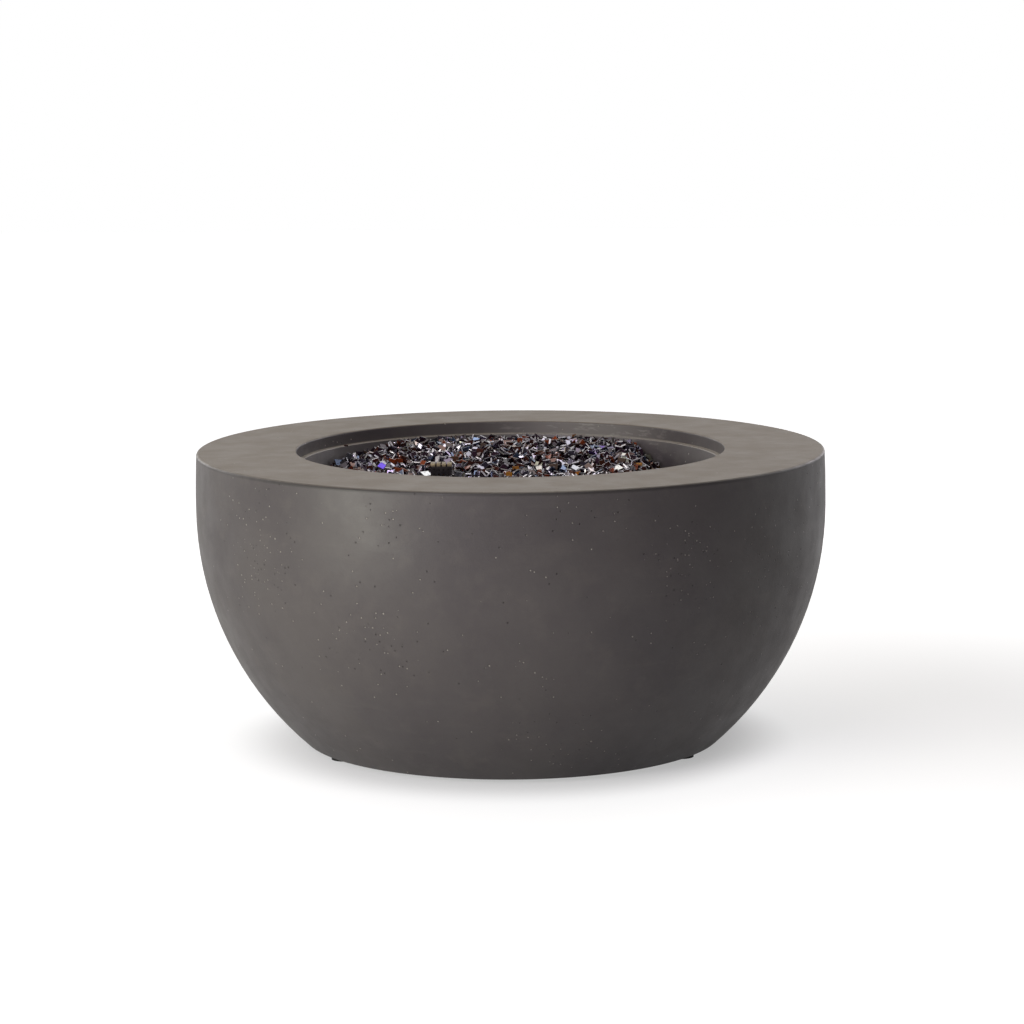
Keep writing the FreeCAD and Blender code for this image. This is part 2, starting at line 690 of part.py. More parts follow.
def make_feet():
    pads = []
    screws = []
    inserts = []
    recess_depth = FOOT_HEAD_HEIGHT + THREAD_GAP
    for place in foot_places(0):
        pad = cylinder(FOOT_DIAMETER, place, Z_AXIS, FOOT_HEIGHT)
        pad = pad.cut(cylinder(FOOT_HEAD_DIAMETER + 2 * FOOT_RECESS_GAP, place, Z_AXIS, recess_depth))
        pad = pad.cut(cylinder(FOOT_SCREW_DIAMETER + 2 * THREAD_GAP, place, Z_AXIS, FOOT_HEIGHT))
        pads.append(pad)
    for place in foot_places(recess_depth):
        screws.append(
            screw(
                FOOT_SCREW_DIAMETER,
                FOOT_SCREW_LENGTH,
                FOOT_HEAD_DIAMETER,
                FOOT_HEAD_HEIGHT,
                place,
                Z_AXIS * -1,
            )
        )
    for place in foot_places(BASE_Z):
        inserts.append(insert(FOOT_SCREW_DIAMETER, place, Z_AXIS, foot_insert_length()))
    save(group(pads), "foot_pads")
    save(group(screws), "foot_screws")
    save(group(inserts), "foot_inserts")


def cover_foot_places(z):
    """The middle of the pilot cover's two feet."""
    reach = COVER_WIDTH / 2 + COVER_FOOT / 2
    return [(PILOT_X + sx * reach, PILOT_Y, z) for sx in (-1, 1)]


def make_pan():
    floor = cylinder(2 * PAN_R, (0, 0, SHELF_Z), Z_AXIS, PAN_LIP_HEIGHT)
    pan = floor.cut(cylinder(2 * (PAN_R - PAN_SHEET), (0, 0, PAN_FLOOR_Z), Z_AXIS, PAN_LIP_HEIGHT))
    pan = pan.cut(cylinder(STUB_DIAMETER + 2 * PAN_STUB_GAP, (0, 0, SHELF_Z), Z_AXIS, PAN_SHEET))
    half_x = COVER_WIDTH / 2 - COVER_SHEET - PAN_WINDOW_INSET
    half_y = COVER_DEPTH / 2 - COVER_SHEET - PAN_WINDOW_INSET
    pan = pan.cut(
        block(
            (PILOT_X - half_x, PILOT_Y - half_y, SHELF_Z),
            (PILOT_X + half_x, PILOT_Y + half_y, PAN_FLOOR_Z),
        )
    )
    for k in range(PAN_HOLE_COUNT):
        place = polar(PAN_HOLE_R, 360 * (k + 0.5) / PAN_HOLE_COUNT, SHELF_Z)
        pan = pan.cut(cylinder(PAN_HOLE_DIAMETER, place, Z_AXIS, PAN_SHEET))
    for place in cover_foot_places(SHELF_Z):
        pan = pan.cut(cylinder(COVER_SCREW_DIAMETER + 2 * THREAD_GAP, place, Z_AXIS, PAN_SHEET))
    save(pan, "burner_pan")


def burner_ring(diameter, ports):
    """Hollow ring of tube with flame ports along its top."""
    centre = Vector(0, 0, RING_Z)
    ring = Part.makeTorus(diameter / 2, TUBE_R, centre, Z_AXIS)
    ring = ring.cut(Part.makeTorus(diameter / 2, TUBE_R - BURNER_TUBE_WALL, centre, Z_AXIS))
    drills = []
    for k in range(ports):
        place = polar(diameter / 2, 360 * (k + 0.5) / ports, RING_Z)
        drills.append(cylinder(PORT_DIAMETER, place, Z_AXIS, TUBE_R + CUT_OVER))
    for sy in (-1, 1):
        drills.append(feed_bore(sy * diameter / 2))
    return ring.cut(group(drills))


def feed_bore(y):
    """Where a feed tube opens into a ring at that y."""
    inside = FEED_TUBE_DIAMETER - 2 * BURNER_TUBE_WALL
    sign = 1 if y > 0 else -1
    inner_side = y - sign * (TUBE_R + CUT_OVER)
    bore = cylinder(inside, (0, inner_side, RING_Z), Y_AXIS * sign, TUBE_R + CUT_OVER)
    if abs(y) < OUTER_RING_DIAMETER / 2:
        bore = bore.fuse(cylinder(inside, (0, y, RING_Z), Y_AXIS * sign, TUBE_R + CUT_OVER))
    return bore


def make_burner():
    outer = burner_ring(OUTER_RING_DIAMETER, OUTER_PORT_COUNT)
    inner = burner_ring(INNER_RING_DIAMETER, INNER_PORT_COUNT)
    inside = FEED_TUBE_DIAMETER - 2 * BURNER_TUBE_WALL
    hub_solid = cylinder(HUB_DIAMETER, (0, 0, PAN_FLOOR_Z), Z_AXIS, HUB_HEIGHT)
    ring_solids = [
        Part.makeTorus(diameter / 2, TUBE_R, Vector(0, 0, RING_Z), Z_AXIS)
        for diameter in (OUTER_RING_DIAMETER, INNER_RING_DIAMETER)
    ]
    feeds = []
    for sign in (-1, 1):
        whole = tube(FEED_TUBE_DIAMETER, inside, (0, 0, RING_Z), Y_AXIS * sign, OUTER_RING_DIAMETER / 2)
        parts = whole.cut(hub_solid).cut(ring_solids[0]).cut(ring_solids[1])
        feeds.extend(s for s in parts.Solids if s.BoundBox.YLength > TUBE_R)
    save(outer, "burner_outer_ring")
    save(inner, "burner_inner_ring")
    save(group(feeds), "burner_feed_tubes")
    save(make_hub(hub_solid, inside), "burner_hub")


def make_hub(hub_solid, feed_bore_diameter):
    """Hollow hub with a threaded stub that goes down through the pan."""
    hub = hub_solid.fuse(cylinder(STUB_DIAMETER, (0, 0, PAN_FLOOR_Z - STUB_LENGTH), Z_AXIS, STUB_LENGTH))
    room = HUB_DIAMETER - 2 * HUB_WALL
    hub = hub.cut(cylinder(room, (0, 0, PAN_FLOOR_Z + HUB_WALL), Z_AXIS, HUB_HEIGHT - 2 * HUB_WALL))
    hub = hub.cut(cylinder(STUB_BORE, (0, 0, PAN_FLOOR_Z - STUB_LENGTH), Z_AXIS, STUB_LENGTH + HUB_WALL))
    hub = hub.cut(cylinder(feed_bore_diameter, (0, -HUB_DIAMETER, RING_Z), Y_AXIS, 2 * HUB_DIAMETER))
    return hub


def make_mixer():
    """Lock nut, air mixer and jet under the pan."""
    nut_z = SHELF_Z - LOCK_NUT_THICKNESS
    thread = STUB_DIAMETER + 2 * THREAD_GAP
    save(hex_nut(LOCK_NUT_FLATS, thread, (0, 0, nut_z), Z_AXIS, LOCK_NUT_THICKNESS), "burner_lock_nut")
    mixer = cylinder(MIXER_DIAMETER, (0, 0, MIXER_BOTTOM_Z), Z_AXIS, MIXER_LENGTH)
    socket_z = MIXER_TOP_Z - MIXER_SOCKET_DEPTH
    mixer = mixer.cut(cylinder(thread, (0, 0, socket_z), Z_AXIS, MIXER_SOCKET_DEPTH))
    jet_top = MIXER_BOTTOM_Z + JET_LENGTH
    mixer = mixer.cut(cylinder(MIXER_BORE, (0, 0, jet_top), Z_AXIS, socket_z - jet_top))
    mixer = mixer.cut(cylinder(JET_DIAMETER + 2 * THREAD_GAP, (0, 0, MIXER_BOTTOM_Z), Z_AXIS, JET_LENGTH))
    window_low = jet_top + AIR_WINDOW_START
    mixer = mixer.cut(
        block(
            (-MIXER_DIAMETER, -AIR_WINDOW_WIDTH / 2, window_low),
            (MIXER_DIAMETER, AIR_WINDOW_WIDTH / 2, window_low + AIR_WINDOW_HEIGHT),
        )
    )
    save(mixer, "air_mixer")
    save(tube(JET_DIAMETER, JET_BORE, (0, 0, MIXER_BOTTOM_Z), Z_AXIS, JET_LENGTH), "gas_jet")


def pilot_keep_out():
    """The space that the pilot cover and its plate take out of the fill."""
    half_x = COVER_WIDTH / 2 + FILL_GAP
    half_y = COVER_DEPTH / 2 + FILL_GAP
    foot_x = half_x + COVER_FOOT
    head_z = BRACKET_Z + COVER_SHEET + COVER_HEAD_HEIGHT + FILL_GAP
    column = block((PILOT_X - half_x, PILOT_Y - half_y, SHELF_Z), (PILOT_X + half_x, PILOT_Y + half_y, RIM_Z))
    feet = block((PILOT_X - foot_x, PILOT_Y - half_y, SHELF_Z), (PILOT_X + foot_x, PILOT_Y + half_y, head_z))
    return column.fuse(feet)


def burner_keep_out():
    """The spaces that the burner takes out of the fill."""
    feed_width = FEED_TUBE_DIAMETER + 2 * FILL_GAP
    spaces = [
        cylinder(HUB_DIAMETER + 2 * FILL_GAP, (0, 0, SHELF_Z), Z_AXIS, HUB_HEIGHT + PAN_SHEET + FILL_GAP),
        cylinder(feed_width, (0, -OUTER_RING_DIAMETER / 2, RING_Z), Y_AXIS, OUTER_RING_DIAMETER),
    ]
    for diameter in (OUTER_RING_DIAMETER, INNER_RING_DIAMETER):
        spaces.append(Part.makeTorus(diameter / 2, TUBE_R + FILL_GAP, Vector(0, 0, RING_Z), Z_AXIS))
    return spaces


def cut_all(shape, tools):
    """Takes each tool out of the shape in turn."""
    for tool in tools:
        shape = shape.cut(tool)
    return shape.removeSplitter()


def fall(place, slope):
    """Smooth fall of the heap along one axis: 0 before its slope starts, and its share past its end."""
    share, start, end = slope
    way = min(max((place / WELL_TOP_R - start) / (end - start), 0.0), 1.0)
    return share * way * way * (3 - 2 * way)


def glass_z(x, y):
    """Height of the heap: high along the far wall, lower in front and at the left, steep at the right."""
    kept = (1 - fall(y, GLASS_FRONT)) * (1 - fall(x, GLASS_LEFT)) * (1 - fall(x, GLASS_RIGHT))
    turn = math.pi / GLASS_LUMP_PITCH
    lump = GLASS_LUMP * math.sin(turn * x + GLASS_LUMP_SHIFT[0]) * math.cos(turn * y + GLASS_LUMP_SHIFT[1])
    return RIM_Z - GLASS_LOW_DEPTH + (GLASS_LOW_DEPTH - GLASS_HIGH_DEPTH) * kept + lump


def heap_block():
    """Everything under the heap's surface, which is one smooth face over a grid of heights."""
    lines = [(2 * k / GLASS_GRID - 1) * OPENING_R for k in range(GLASS_GRID + 1)]
    surface = Part.BSplineSurface()
    surface.interpolate([[Vector(x, y, glass_z(x, y)) for y in lines] for x in lines])
    return surface.toShape().extrude(Z_AXIS * -BOWL_HEIGHT)


def make_fill():
    """Lava rock in the pan, and the heap of fire glass over the burner."""
    keep_out = [*burner_keep_out(), pilot_keep_out()]
    lava_r = PAN_R - PAN_SHEET - FILL_GAP
    lava = cylinder(2 * lava_r, (0, 0, PAN_FLOOR_Z), Z_AXIS, RING_Z - PAN_FLOOR_Z)
    save(cut_all(lava, keep_out), "lava_rock_bed")
    space = lathe(
        (0, RING_Z),
        (well_r(RING_Z) - FILL_GAP, RING_Z),
        (well_r(SEAT_Z) - FILL_GAP, SEAT_Z),
        (0, SEAT_Z),
    )
    save(cut_all(space.common(heap_block()), keep_out), "fire_glass_bed")


def cover_profile(inset):
    """Side outline of the pilot cover, pulled in by inset, extruded over its width."""
    half = COVER_DEPTH / 2 - inset
    top = COVER_TOP_Z - inset
    width = COVER_WIDTH - 2 * inset
    body = block((PILOT_X - width / 2, PILOT_Y - half, BRACKET_Z), (PILOT_X + width / 2, PILOT_Y + half, top))
    edges = []
    for edge in body.Edges:
        along_x = abs(edge.tangentAt(edge.FirstParameter).x) > 0.99
        if along_x and edge.CenterOfMass.z > top - 0.01:
            edges.append(edge)
    return body.makeFillet(COVER_BEND - inset, edges)


def make_pilot_cover():
    cover = cover_profile(0).cut(cover_profile(COVER_SHEET))
    top = COVER_TOP_Z
    slot_pitch = COVER_WIDTH / (COVER_SLOT_COUNT + 1)
    cutters = []
    for k in range(COVER_SLOT_COUNT):
        x = PILOT_X + (k - (COVER_SLOT_COUNT - 1) / 2) * slot_pitch
        cutters.append(
            block(
                (x - COVER_SLOT_WIDTH / 2, PILOT_Y - COVER_DEPTH, top - COVER_SLOT_DROP),
                (x + COVER_SLOT_WIDTH / 2, PILOT_Y + COVER_DEPTH, top + CUT_OVER),
            )
        )
    for column in range(COVER_HOLE_COLUMNS):
        x = PILOT_X + (column - (COVER_HOLE_COLUMNS - 1) / 2) * COVER_HOLE_PITCH
        for row in range(COVER_HOLE_ROWS):
            z = top - COVER_SLOT_DROP - COVER_HOLE_START - COVER_HOLE_PITCH * row
            start = (x, PILOT_Y - COVER_DEPTH, z)
            cutters.append(cylinder(COVER_HOLE_DIAMETER, start, Y_AXIS, 2 * COVER_DEPTH))
    cover = cover.cut(group(cutters))
    for place in cover_foot_places(BRACKET_Z):
        half_x = COVER_FOOT / 2
        half_y = COVER_FOOT_DEPTH / 2
        foot = block(
            (place[0] - half_x, place[1] - half_y, BRACKET_Z),
            (place[0] + half_x, place[1] + half_y, BRACKET_Z + COVER_SHEET),
        )
        foot = foot.cut(cylinder(COVER_SCREW_DIAMETER + 2 * THREAD_GAP, place, Z_AXIS, COVER_SHEET))
        cover = cover.fuse(foot)
    save(cover.removeSplitter(), "pilot_cover")
    screws = []
    for place in cover_foot_places(BRACKET_Z + COVER_SHEET):
        screws.append(
            screw(
                COVER_SCREW_DIAMETER,
                COVER_SCREW_LENGTH,
                COVER_HEAD_DIAMETER,
                COVER_HEAD_HEIGHT,
                place,
                Z_AXIS,
            )
        )
    save(group(screws), "pilot_cover_screws")


def make_pilot_parts():
    """Plate, pilot burner, spark electrode and thermocouple inside the cover."""
    reach = COVER_WIDTH / 2 + COVER_FOOT
    half_y = COVER_DEPTH / 2
    plate = block(
        (PILOT_X - reach, PILOT_Y - half_y, PAN_FLOOR_Z),
        (PILOT_X + reach, PILOT_Y + half_y, BRACKET_Z),
    )
    electrode_x = PILOT_X + PILOT_SPACING
    thermo_x = PILOT_X - PILOT_SPACING
    holes = [
        (PILOT_X, PILOT_TUBE_DIAMETER),
        (electrode_x, ELECTRODE_DIAMETER),
        (thermo_x, THERMOCOUPLE_DIAMETER),
    ]
    for x, diameter in holes:
        place = (x, PILOT_Y, PAN_FLOOR_Z)
        plate = plate.cut(cylinder(diameter + 2 * THREAD_GAP, place, Z_AXIS, BRACKET_SHEET))
    for place in cover_foot_places(PAN_FLOOR_Z):
        plate = plate.cut(cylinder(COVER_SCREW_DIAMETER + 2 * THREAD_GAP, place, Z_AXIS, BRACKET_SHEET))
    save(plate, "pilot_bracket")
    body = cylinder(PILOT_BURNER_DIAMETER, (PILOT_X, PILOT_Y, BRACKET_Z), Z_AXIS, PILOT_BURNER_HEIGHT)
    hood_z = BRACKET_Z + PILOT_BURNER_HEIGHT
    body = body.fuse(cylinder(PILOT_HOOD_DIAMETER, (PILOT_X, PILOT_Y, hood_z), Z_AXIS, PILOT_HOOD_HEIGHT))
    bore_length = PILOT_BURNER_HEIGHT + PILOT_HOOD_HEIGHT / 2
    tube_bore = PILOT_TUBE_DIAMETER + 2 * THREAD_GAP
    body = body.cut(cylinder(tube_bore, (PILOT_X, PILOT_Y, BRACKET_Z), Z_AXIS, bore_length))
    slot_half = PILOT_FLAME_SLOT / 2
    slot_z = hood_z + PILOT_HOOD_HEIGHT / 2
    body = body.cut(
        block(
            (PILOT_X - PILOT_HOOD_DIAMETER, PILOT_Y - slot_half, slot_z - slot_half),
            (PILOT_X + PILOT_HOOD_DIAMETER, PILOT_Y + slot_half, slot_z),
        )
    )
    save(body, "pilot_burner")
    tail_z = SHELF_Z - PILOT_TAIL
    tail = (electrode_x, PILOT_Y, tail_z)
    ceramic = tube(ELECTRODE_DIAMETER, ELECTRODE_PIN_DIAMETER, tail, Z_AXIS, ELECTRODE_LENGTH)
    save(ceramic, "electrode_ceramic")
    pin_length = ELECTRODE_LENGTH + ELECTRODE_PIN_LENGTH
    save(cylinder(ELECTRODE_PIN_DIAMETER, tail, Z_AXIS, pin_length), "electrode_pin")
    tip = cylinder(THERMOCOUPLE_DIAMETER, (thermo_x, PILOT_Y, tail_z), Z_AXIS, THERMOCOUPLE_LENGTH)
    save(tip, "thermocouple_tip")


def make_control_plate():
    half_x = NICHE_WIDTH / 2 - PLATE_GAP_X
    half_z = NICHE_HEIGHT / 2 - PLATE_GAP_Z
    plate = block((-half_x, NICHE_FLOOR_Y, NICHE_Z - half_z), (half_x, PLATE_FRONT_Y, NICHE_Z + half_z))
    edges = [e for e in plate.Edges if abs(e.tangentAt(e.FirstParameter).y) > 0.99]
    plate = plate.makeFillet(PLATE_CORNER_RADIUS, edges)
    holes = []
    for x, diameter in ((VALVE_X, NOSE_DIAMETER), (IGNITER_X, NECK_DIAMETER)):
        place = (x, NICHE_FLOOR_Y, NICHE_Z)
        holes.append(cylinder(diameter + 2 * PLATE_HOLE_GAP, place, Y_AXIS, PLATE_SHEET))
    for place in niche_screw_places(PLATE_SCREW_X, PLATE_SCREW_Z, NICHE_FLOOR_Y):
        holes.append(cylinder(PLATE_SCREW_DIAMETER + 2 * PLATE_HOLE_GAP, place, Y_AXIS, PLATE_SHEET))
    for k in range(VENT_SLOT_COUNT):
        x = (k - (VENT_SLOT_COUNT - 1) / 2) * VENT_SLOT_PITCH
        z = NICHE_Z - VENT_SLOT_DROP
        holes.append(
            block(
                (x - VENT_SLOT_LENGTH / 2, NICHE_FLOOR_Y, z - VENT_SLOT_WIDTH / 2),
                (x + VENT_SLOT_LENGTH / 2, PLATE_FRONT_Y, z + VENT_SLOT_WIDTH / 2),
            )
        )
    save(plate.cut(group(holes)), "control_plate")
    screws = []
    inserts = []
    for place in niche_screw_places(PLATE_SCREW_X, PLATE_SCREW_Z, PLATE_FRONT_Y):
        screws.append(
            screw(
                PLATE_SCREW_DIAMETER,
                PLATE_SCREW_LENGTH,
                PLATE_HEAD_DIAMETER,
                PLATE_HEAD_HEIGHT,
                place,
                Y_AXIS,
            )
        )
    for place in niche_screw_places(PLATE_SCREW_X, PLATE_SCREW_Z, NICHE_FLOOR_Y):
        inserts.append(insert(PLATE_SCREW_DIAMETER, place, Y_AXIS * -1, PLATE_SCREW_LENGTH))
    save(group(screws), "plate_screws")
    save(group(inserts), "plate_inserts")


def make_valve():
    """Valve body with its nut, and the spring loaded plunger that the stem pushes."""
    half = VALVE_SIZE / 2
    body = block(
        (VALVE_X - half, VALVE_BACK_Y, NICHE_Z - half),
        (VALVE_X + half, NICHE_FLOOR_Y, NICHE_Z + half),
    )
    nose_length = VALVE_NOSE_Y - NICHE_FLOOR_Y
    body = body.fuse(cylinder(NOSE_DIAMETER, (VALVE_X, NICHE_FLOOR_Y, NICHE_Z), Y_AXIS, nose_length))
    chamber = PLUNGER_DIAMETER + 2 * STEM_GAP
    body = body.cut(
        cylinder(chamber, (VALVE_X, CHAMBER_BACK_Y, NICHE_Z), Y_AXIS, COLLAR_FRONT_Y - CHAMBER_BACK_Y)
    )
    stem_bore = STEM_DIAMETER + 2 * STEM_GAP
    stem_room = VALVE_NOSE_Y - CHAMBER_BACK_Y
    body = body.cut(cylinder(stem_bore, (VALVE_X, CHAMBER_BACK_Y, NICHE_Z), Y_AXIS, stem_room))
    for x, z, axis in port_list():
        body = body.cut(cylinder(VALVE_PORT_DIAMETER, (x, port_y(axis), z), axis * -1, VALVE_PORT_DEPTH))
    save(body, "valve_body")
    nut_bore = NOSE_DIAMETER + 2 * THREAD_GAP
    save(
        hex_nut(NOSE_NUT_FLATS, nut_bore, (VALVE_X, PLATE_FRONT_Y, NICHE_Z), Y_AXIS, NOSE_NUT_THICKNESS),
        "valve_nut",
    )
    plunger = cylinder(PLUNGER_DIAMETER, (VALVE_X, PLUNGER_BACK_Y, NICHE_Z), Y_AXIS, PLUNGER_LENGTH)
    tail_bore = STEM_TAIL_DIAMETER + 2 * STEM_GAP
    bore_start = (VALVE_X, PLUNGER_FRONT_Y - STEM_TAIL_LENGTH - STEM_GAP, NICHE_Z)
    plunger = plunger.cut(cylinder(tail_bore, bore_start, Y_AXIS, PLUNGER_LENGTH))
    save(plunger, "valve_plunger")
    mean = PLUNGER_DIAMETER - 2 * VALVE_SPRING_GAP - VALVE_SPRING_WIRE
    save(
        compression_spring(
            VALVE_SPRING_WIRE, VALVE_SPRING_TURNS, mean, CHAMBER_BACK_Y, VALVE_SPRING_LENGTH, VALVE_X, NICHE_Z
        ),
        "valve_spring",
    )


def port_list():
    """Ports of the valve as x, z and the way each faces: supply, burner, pilot and thermocouple."""
    half = VALVE_SIZE / 2
    return [
        (VALVE_X, NICHE_Z - half, Z_AXIS * -1),
        (VALVE_X - half, NICHE_Z, X_AXIS * -1),
        (VALVE_X + REAR_PORT_X, NICHE_Z + REAR_PORT_Z, Y_AXIS * -1),
        (VALVE_X - REAR_PORT_X, NICHE_Z + REAR_PORT_Z, Y_AXIS * -1),
    ]


def port_y(axis):
    """Rear ports are in the back face, the others half way along the body."""
    if abs(axis.y) > 0.5:
        return VALVE_BACK_Y
    return VALVE_BACK_Y + VALVE_LENGTH / 2


def port_places():
    """Ports of the valve as points."""
    return [(x, port_y(axis), z) for x, z, axis in port_list()]


def make_knob():
    """Stem, knob, its white pointer and the set screw that holds it."""
    stem_length = KNOB_BACK_Y + KNOB_BORE_DEPTH - COLLAR_FRONT_Y
    stem = cylinder(STEM_DIAMETER, (VALVE_X, COLLAR_FRONT_Y, NICHE_Z), Y_AXIS, stem_length)
    stem = stem.fuse(
        cylinder(STEM_COLLAR_DIAMETER, (VALVE_X, PLUNGER_FRONT_Y, NICHE_Z), Y_AXIS, STEM_COLLAR_THICKNESS)
    )
    tail_start = PLUNGER_FRONT_Y - STEM_TAIL_LENGTH
    stem = stem.fuse(cylinder(STEM_TAIL_DIAMETER, (VALVE_X, tail_start, NICHE_Z), Y_AXIS, STEM_TAIL_LENGTH))
    knob = cylinder(KNOB_DIAMETER, (VALVE_X, KNOB_BACK_Y, NICHE_Z), Y_AXIS, KNOB_SKIRT)
    grip = cylinder(
        KNOB_GRIP_DIAMETER, (VALVE_X, KNOB_BACK_Y + KNOB_SKIRT, NICHE_Z), Y_AXIS, KNOB_HEIGHT - KNOB_SKIRT
    )
    front_edge = [e for e in grip.Edges if abs(e.CenterOfMass.y - KNOB_FRONT_Y) < 0.01]
    grip = grip.makeFillet(KNOB_EDGE_RADIUS, front_edge)
    flutes = []
    for k in range(KNOB_FLUTES):
        turn = 2 * math.pi * (k + 0.5) / KNOB_FLUTES
        x = VALVE_X + KNOB_GRIP_DIAMETER / 2 * math.cos(turn)
        z = NICHE_Z + KNOB_GRIP_DIAMETER / 2 * math.sin(turn)
        flutes.append(cylinder(KNOB_FLUTE_DIAMETER, (x, KNOB_BACK_Y + KNOB_SKIRT, z), Y_AXIS, KNOB_HEIGHT))
    knob = knob.fuse(grip.cut(group(flutes)))
    bore = STEM_DIAMETER + 2 * THREAD_GAP
    knob = knob.cut(cylinder(bore, (VALVE_X, KNOB_BACK_Y, NICHE_Z), Y_AXIS, KNOB_BORE_DEPTH))
    pointer_top = NICHE_Z + KNOB_GRIP_DIAMETER / 2 - KNOB_EDGE_RADIUS
    pointer = block(
        (VALVE_X - POINTER_WIDTH / 2, KNOB_FRONT_Y - POINTER_DEPTH, pointer_top - POINTER_LENGTH),
        (VALVE_X + POINTER_WIDTH / 2, KNOB_FRONT_Y, pointer_top),
    )
    screw_y = KNOB_BACK_Y + KNOB_SKIRT + SET_SCREW_DIAMETER
    screw_start = (VALVE_X, screw_y, NICHE_Z - STEM_DIAMETER / 2 - THREAD_GAP)
    set_screw = cylinder(SET_SCREW_DIAMETER, screw_start, Z_AXIS * -1, SET_SCREW_LENGTH)
    tapped = cylinder(SET_SCREW_DIAMETER + 2 * THREAD_GAP, screw_start, Z_AXIS * -1, KNOB_DIAMETER)
    drive_start = (VALVE_X, screw_y, screw_start[2] - SET_SCREW_LENGTH)
    drive = hexagon(SET_SCREW_KEY, drive_start, Z_AXIS, SET_SCREW_KEY_DEPTH)
    save(stem.removeSplitter(), "valve_stem")
    save(knob.cut(pointer).cut(tapped).removeSplitter(), "control_knob")
    save(pointer, "knob_pointer")
    save(set_screw.cut(drive), "knob_set_screw")


def make_igniter():
    """Push button spark igniter with its battery."""
    flange_front = IGNITER_FRONT_Y - BUTTON_FRONT_WALL
    spring_back = flange_front - BUTTON_FLANGE_THICKNESS - BUTTON_SPRING_LENGTH
    body = cylinder(IGNITER_DIAMETER, (IGNITER_X, IGNITER_BACK_Y, NICHE_Z), Y_AXIS, IGNITER_LENGTH)
    neck_length = IGNITER_FRONT_Y - NICHE_FLOOR_Y
    body = body.fuse(cylinder(NECK_DIAMETER, (IGNITER_X, NICHE_FLOOR_Y, NICHE_Z), Y_AXIS, neck_length))
    room = BUTTON_FLANGE_DIAMETER + 2 * STEM_GAP
    body = body.cut(cylinder(room, (IGNITER_X, spring_back, NICHE_Z), Y_AXIS, flange_front - spring_back))
    button_bore = BUTTON_DIAMETER + 2 * STEM_GAP
    body = body.cut(cylinder(button_bore, (IGNITER_X, flange_front, NICHE_Z), Y_AXIS, BUTTON_FRONT_WALL))
    cell_room = BATTERY_LENGTH + 2 * BATTERY_GAP
    cell_bore = BATTERY_DIAMETER + 2 * BATTERY_GAP
    body = body.cut(cylinder(cell_bore, (IGNITER_X, IGNITER_BACK_Y, NICHE_Z), Y_AXIS, cell_room))
    save(body, "igniter_body")
    nut_bore = NECK_DIAMETER + 2 * THREAD_GAP
    nut_seat = (IGNITER_X, PLATE_FRONT_Y, NICHE_Z)
    save(hex_nut(IGNITER_NUT_FLATS, nut_bore, nut_seat, Y_AXIS, IGNITER_NUT_THICKNESS), "igniter_nut")
    cell_start = (IGNITER_X, IGNITER_BACK_Y + BATTERY_GAP, NICHE_Z)
    battery = cylinder(BATTERY_DIAMETER, cell_start, Y_AXIS, BATTERY_LENGTH)
    save(battery, "igniter_battery")
    cap_start = (IGNITER_X, IGNITER_BACK_Y - CAP_THICKNESS, NICHE_Z)
    cap = cylinder(IGNITER_DIAMETER, cap_start, Y_AXIS, CAP_THICKNESS)
    cap = cap.fuse(cylinder(TERMINAL_DIAMETER, spark_lead_start(), Y_AXIS, TERMINAL_LENGTH))
    save(cap.removeSplitter(), "igniter_cap")
    shank_length = BUTTON_FRONT_WALL + BUTTON_PROUD
    button = cylinder(BUTTON_DIAMETER, (IGNITER_X, flange_front, NICHE_Z), Y_AXIS, shank_length)
    button_front = flange_front + shank_length
    front_edge = [e for e in button.Edges if abs(e.CenterOfMass.y - button_front) < 0.01]
    button = button.makeFillet(BUTTON_EDGE_RADIUS, front_edge)
    flange_back = flange_front - BUTTON_FLANGE_THICKNESS
    button = button.fuse(
        cylinder(BUTTON_FLANGE_DIAMETER, (IGNITER_X, flange_back, NICHE_Z), Y_AXIS, BUTTON_FLANGE_THICKNESS)
    )
    save(button.removeSplitter(), "igniter_button")
    mean = BUTTON_FLANGE_DIAMETER - 2 * BUTTON_SPRING_GAP - BUTTON_SPRING_WIRE
    save(
        compression_spring(
            BUTTON_SPRING_WIRE,
            BUTTON_SPRING_TURNS,
            mean,
            spring_back,
            BUTTON_SPRING_LENGTH,
            IGNITER_X,
            NICHE_Z,
        ),
        "igniter_spring",
    )


def spark_lead_start():
    """Rear end of the igniter, where the spark lead leaves it."""
    return (IGNITER_X, IGNITER_BACK_Y - CAP_THICKNESS - TERMINAL_LENGTH, NICHE_Z)


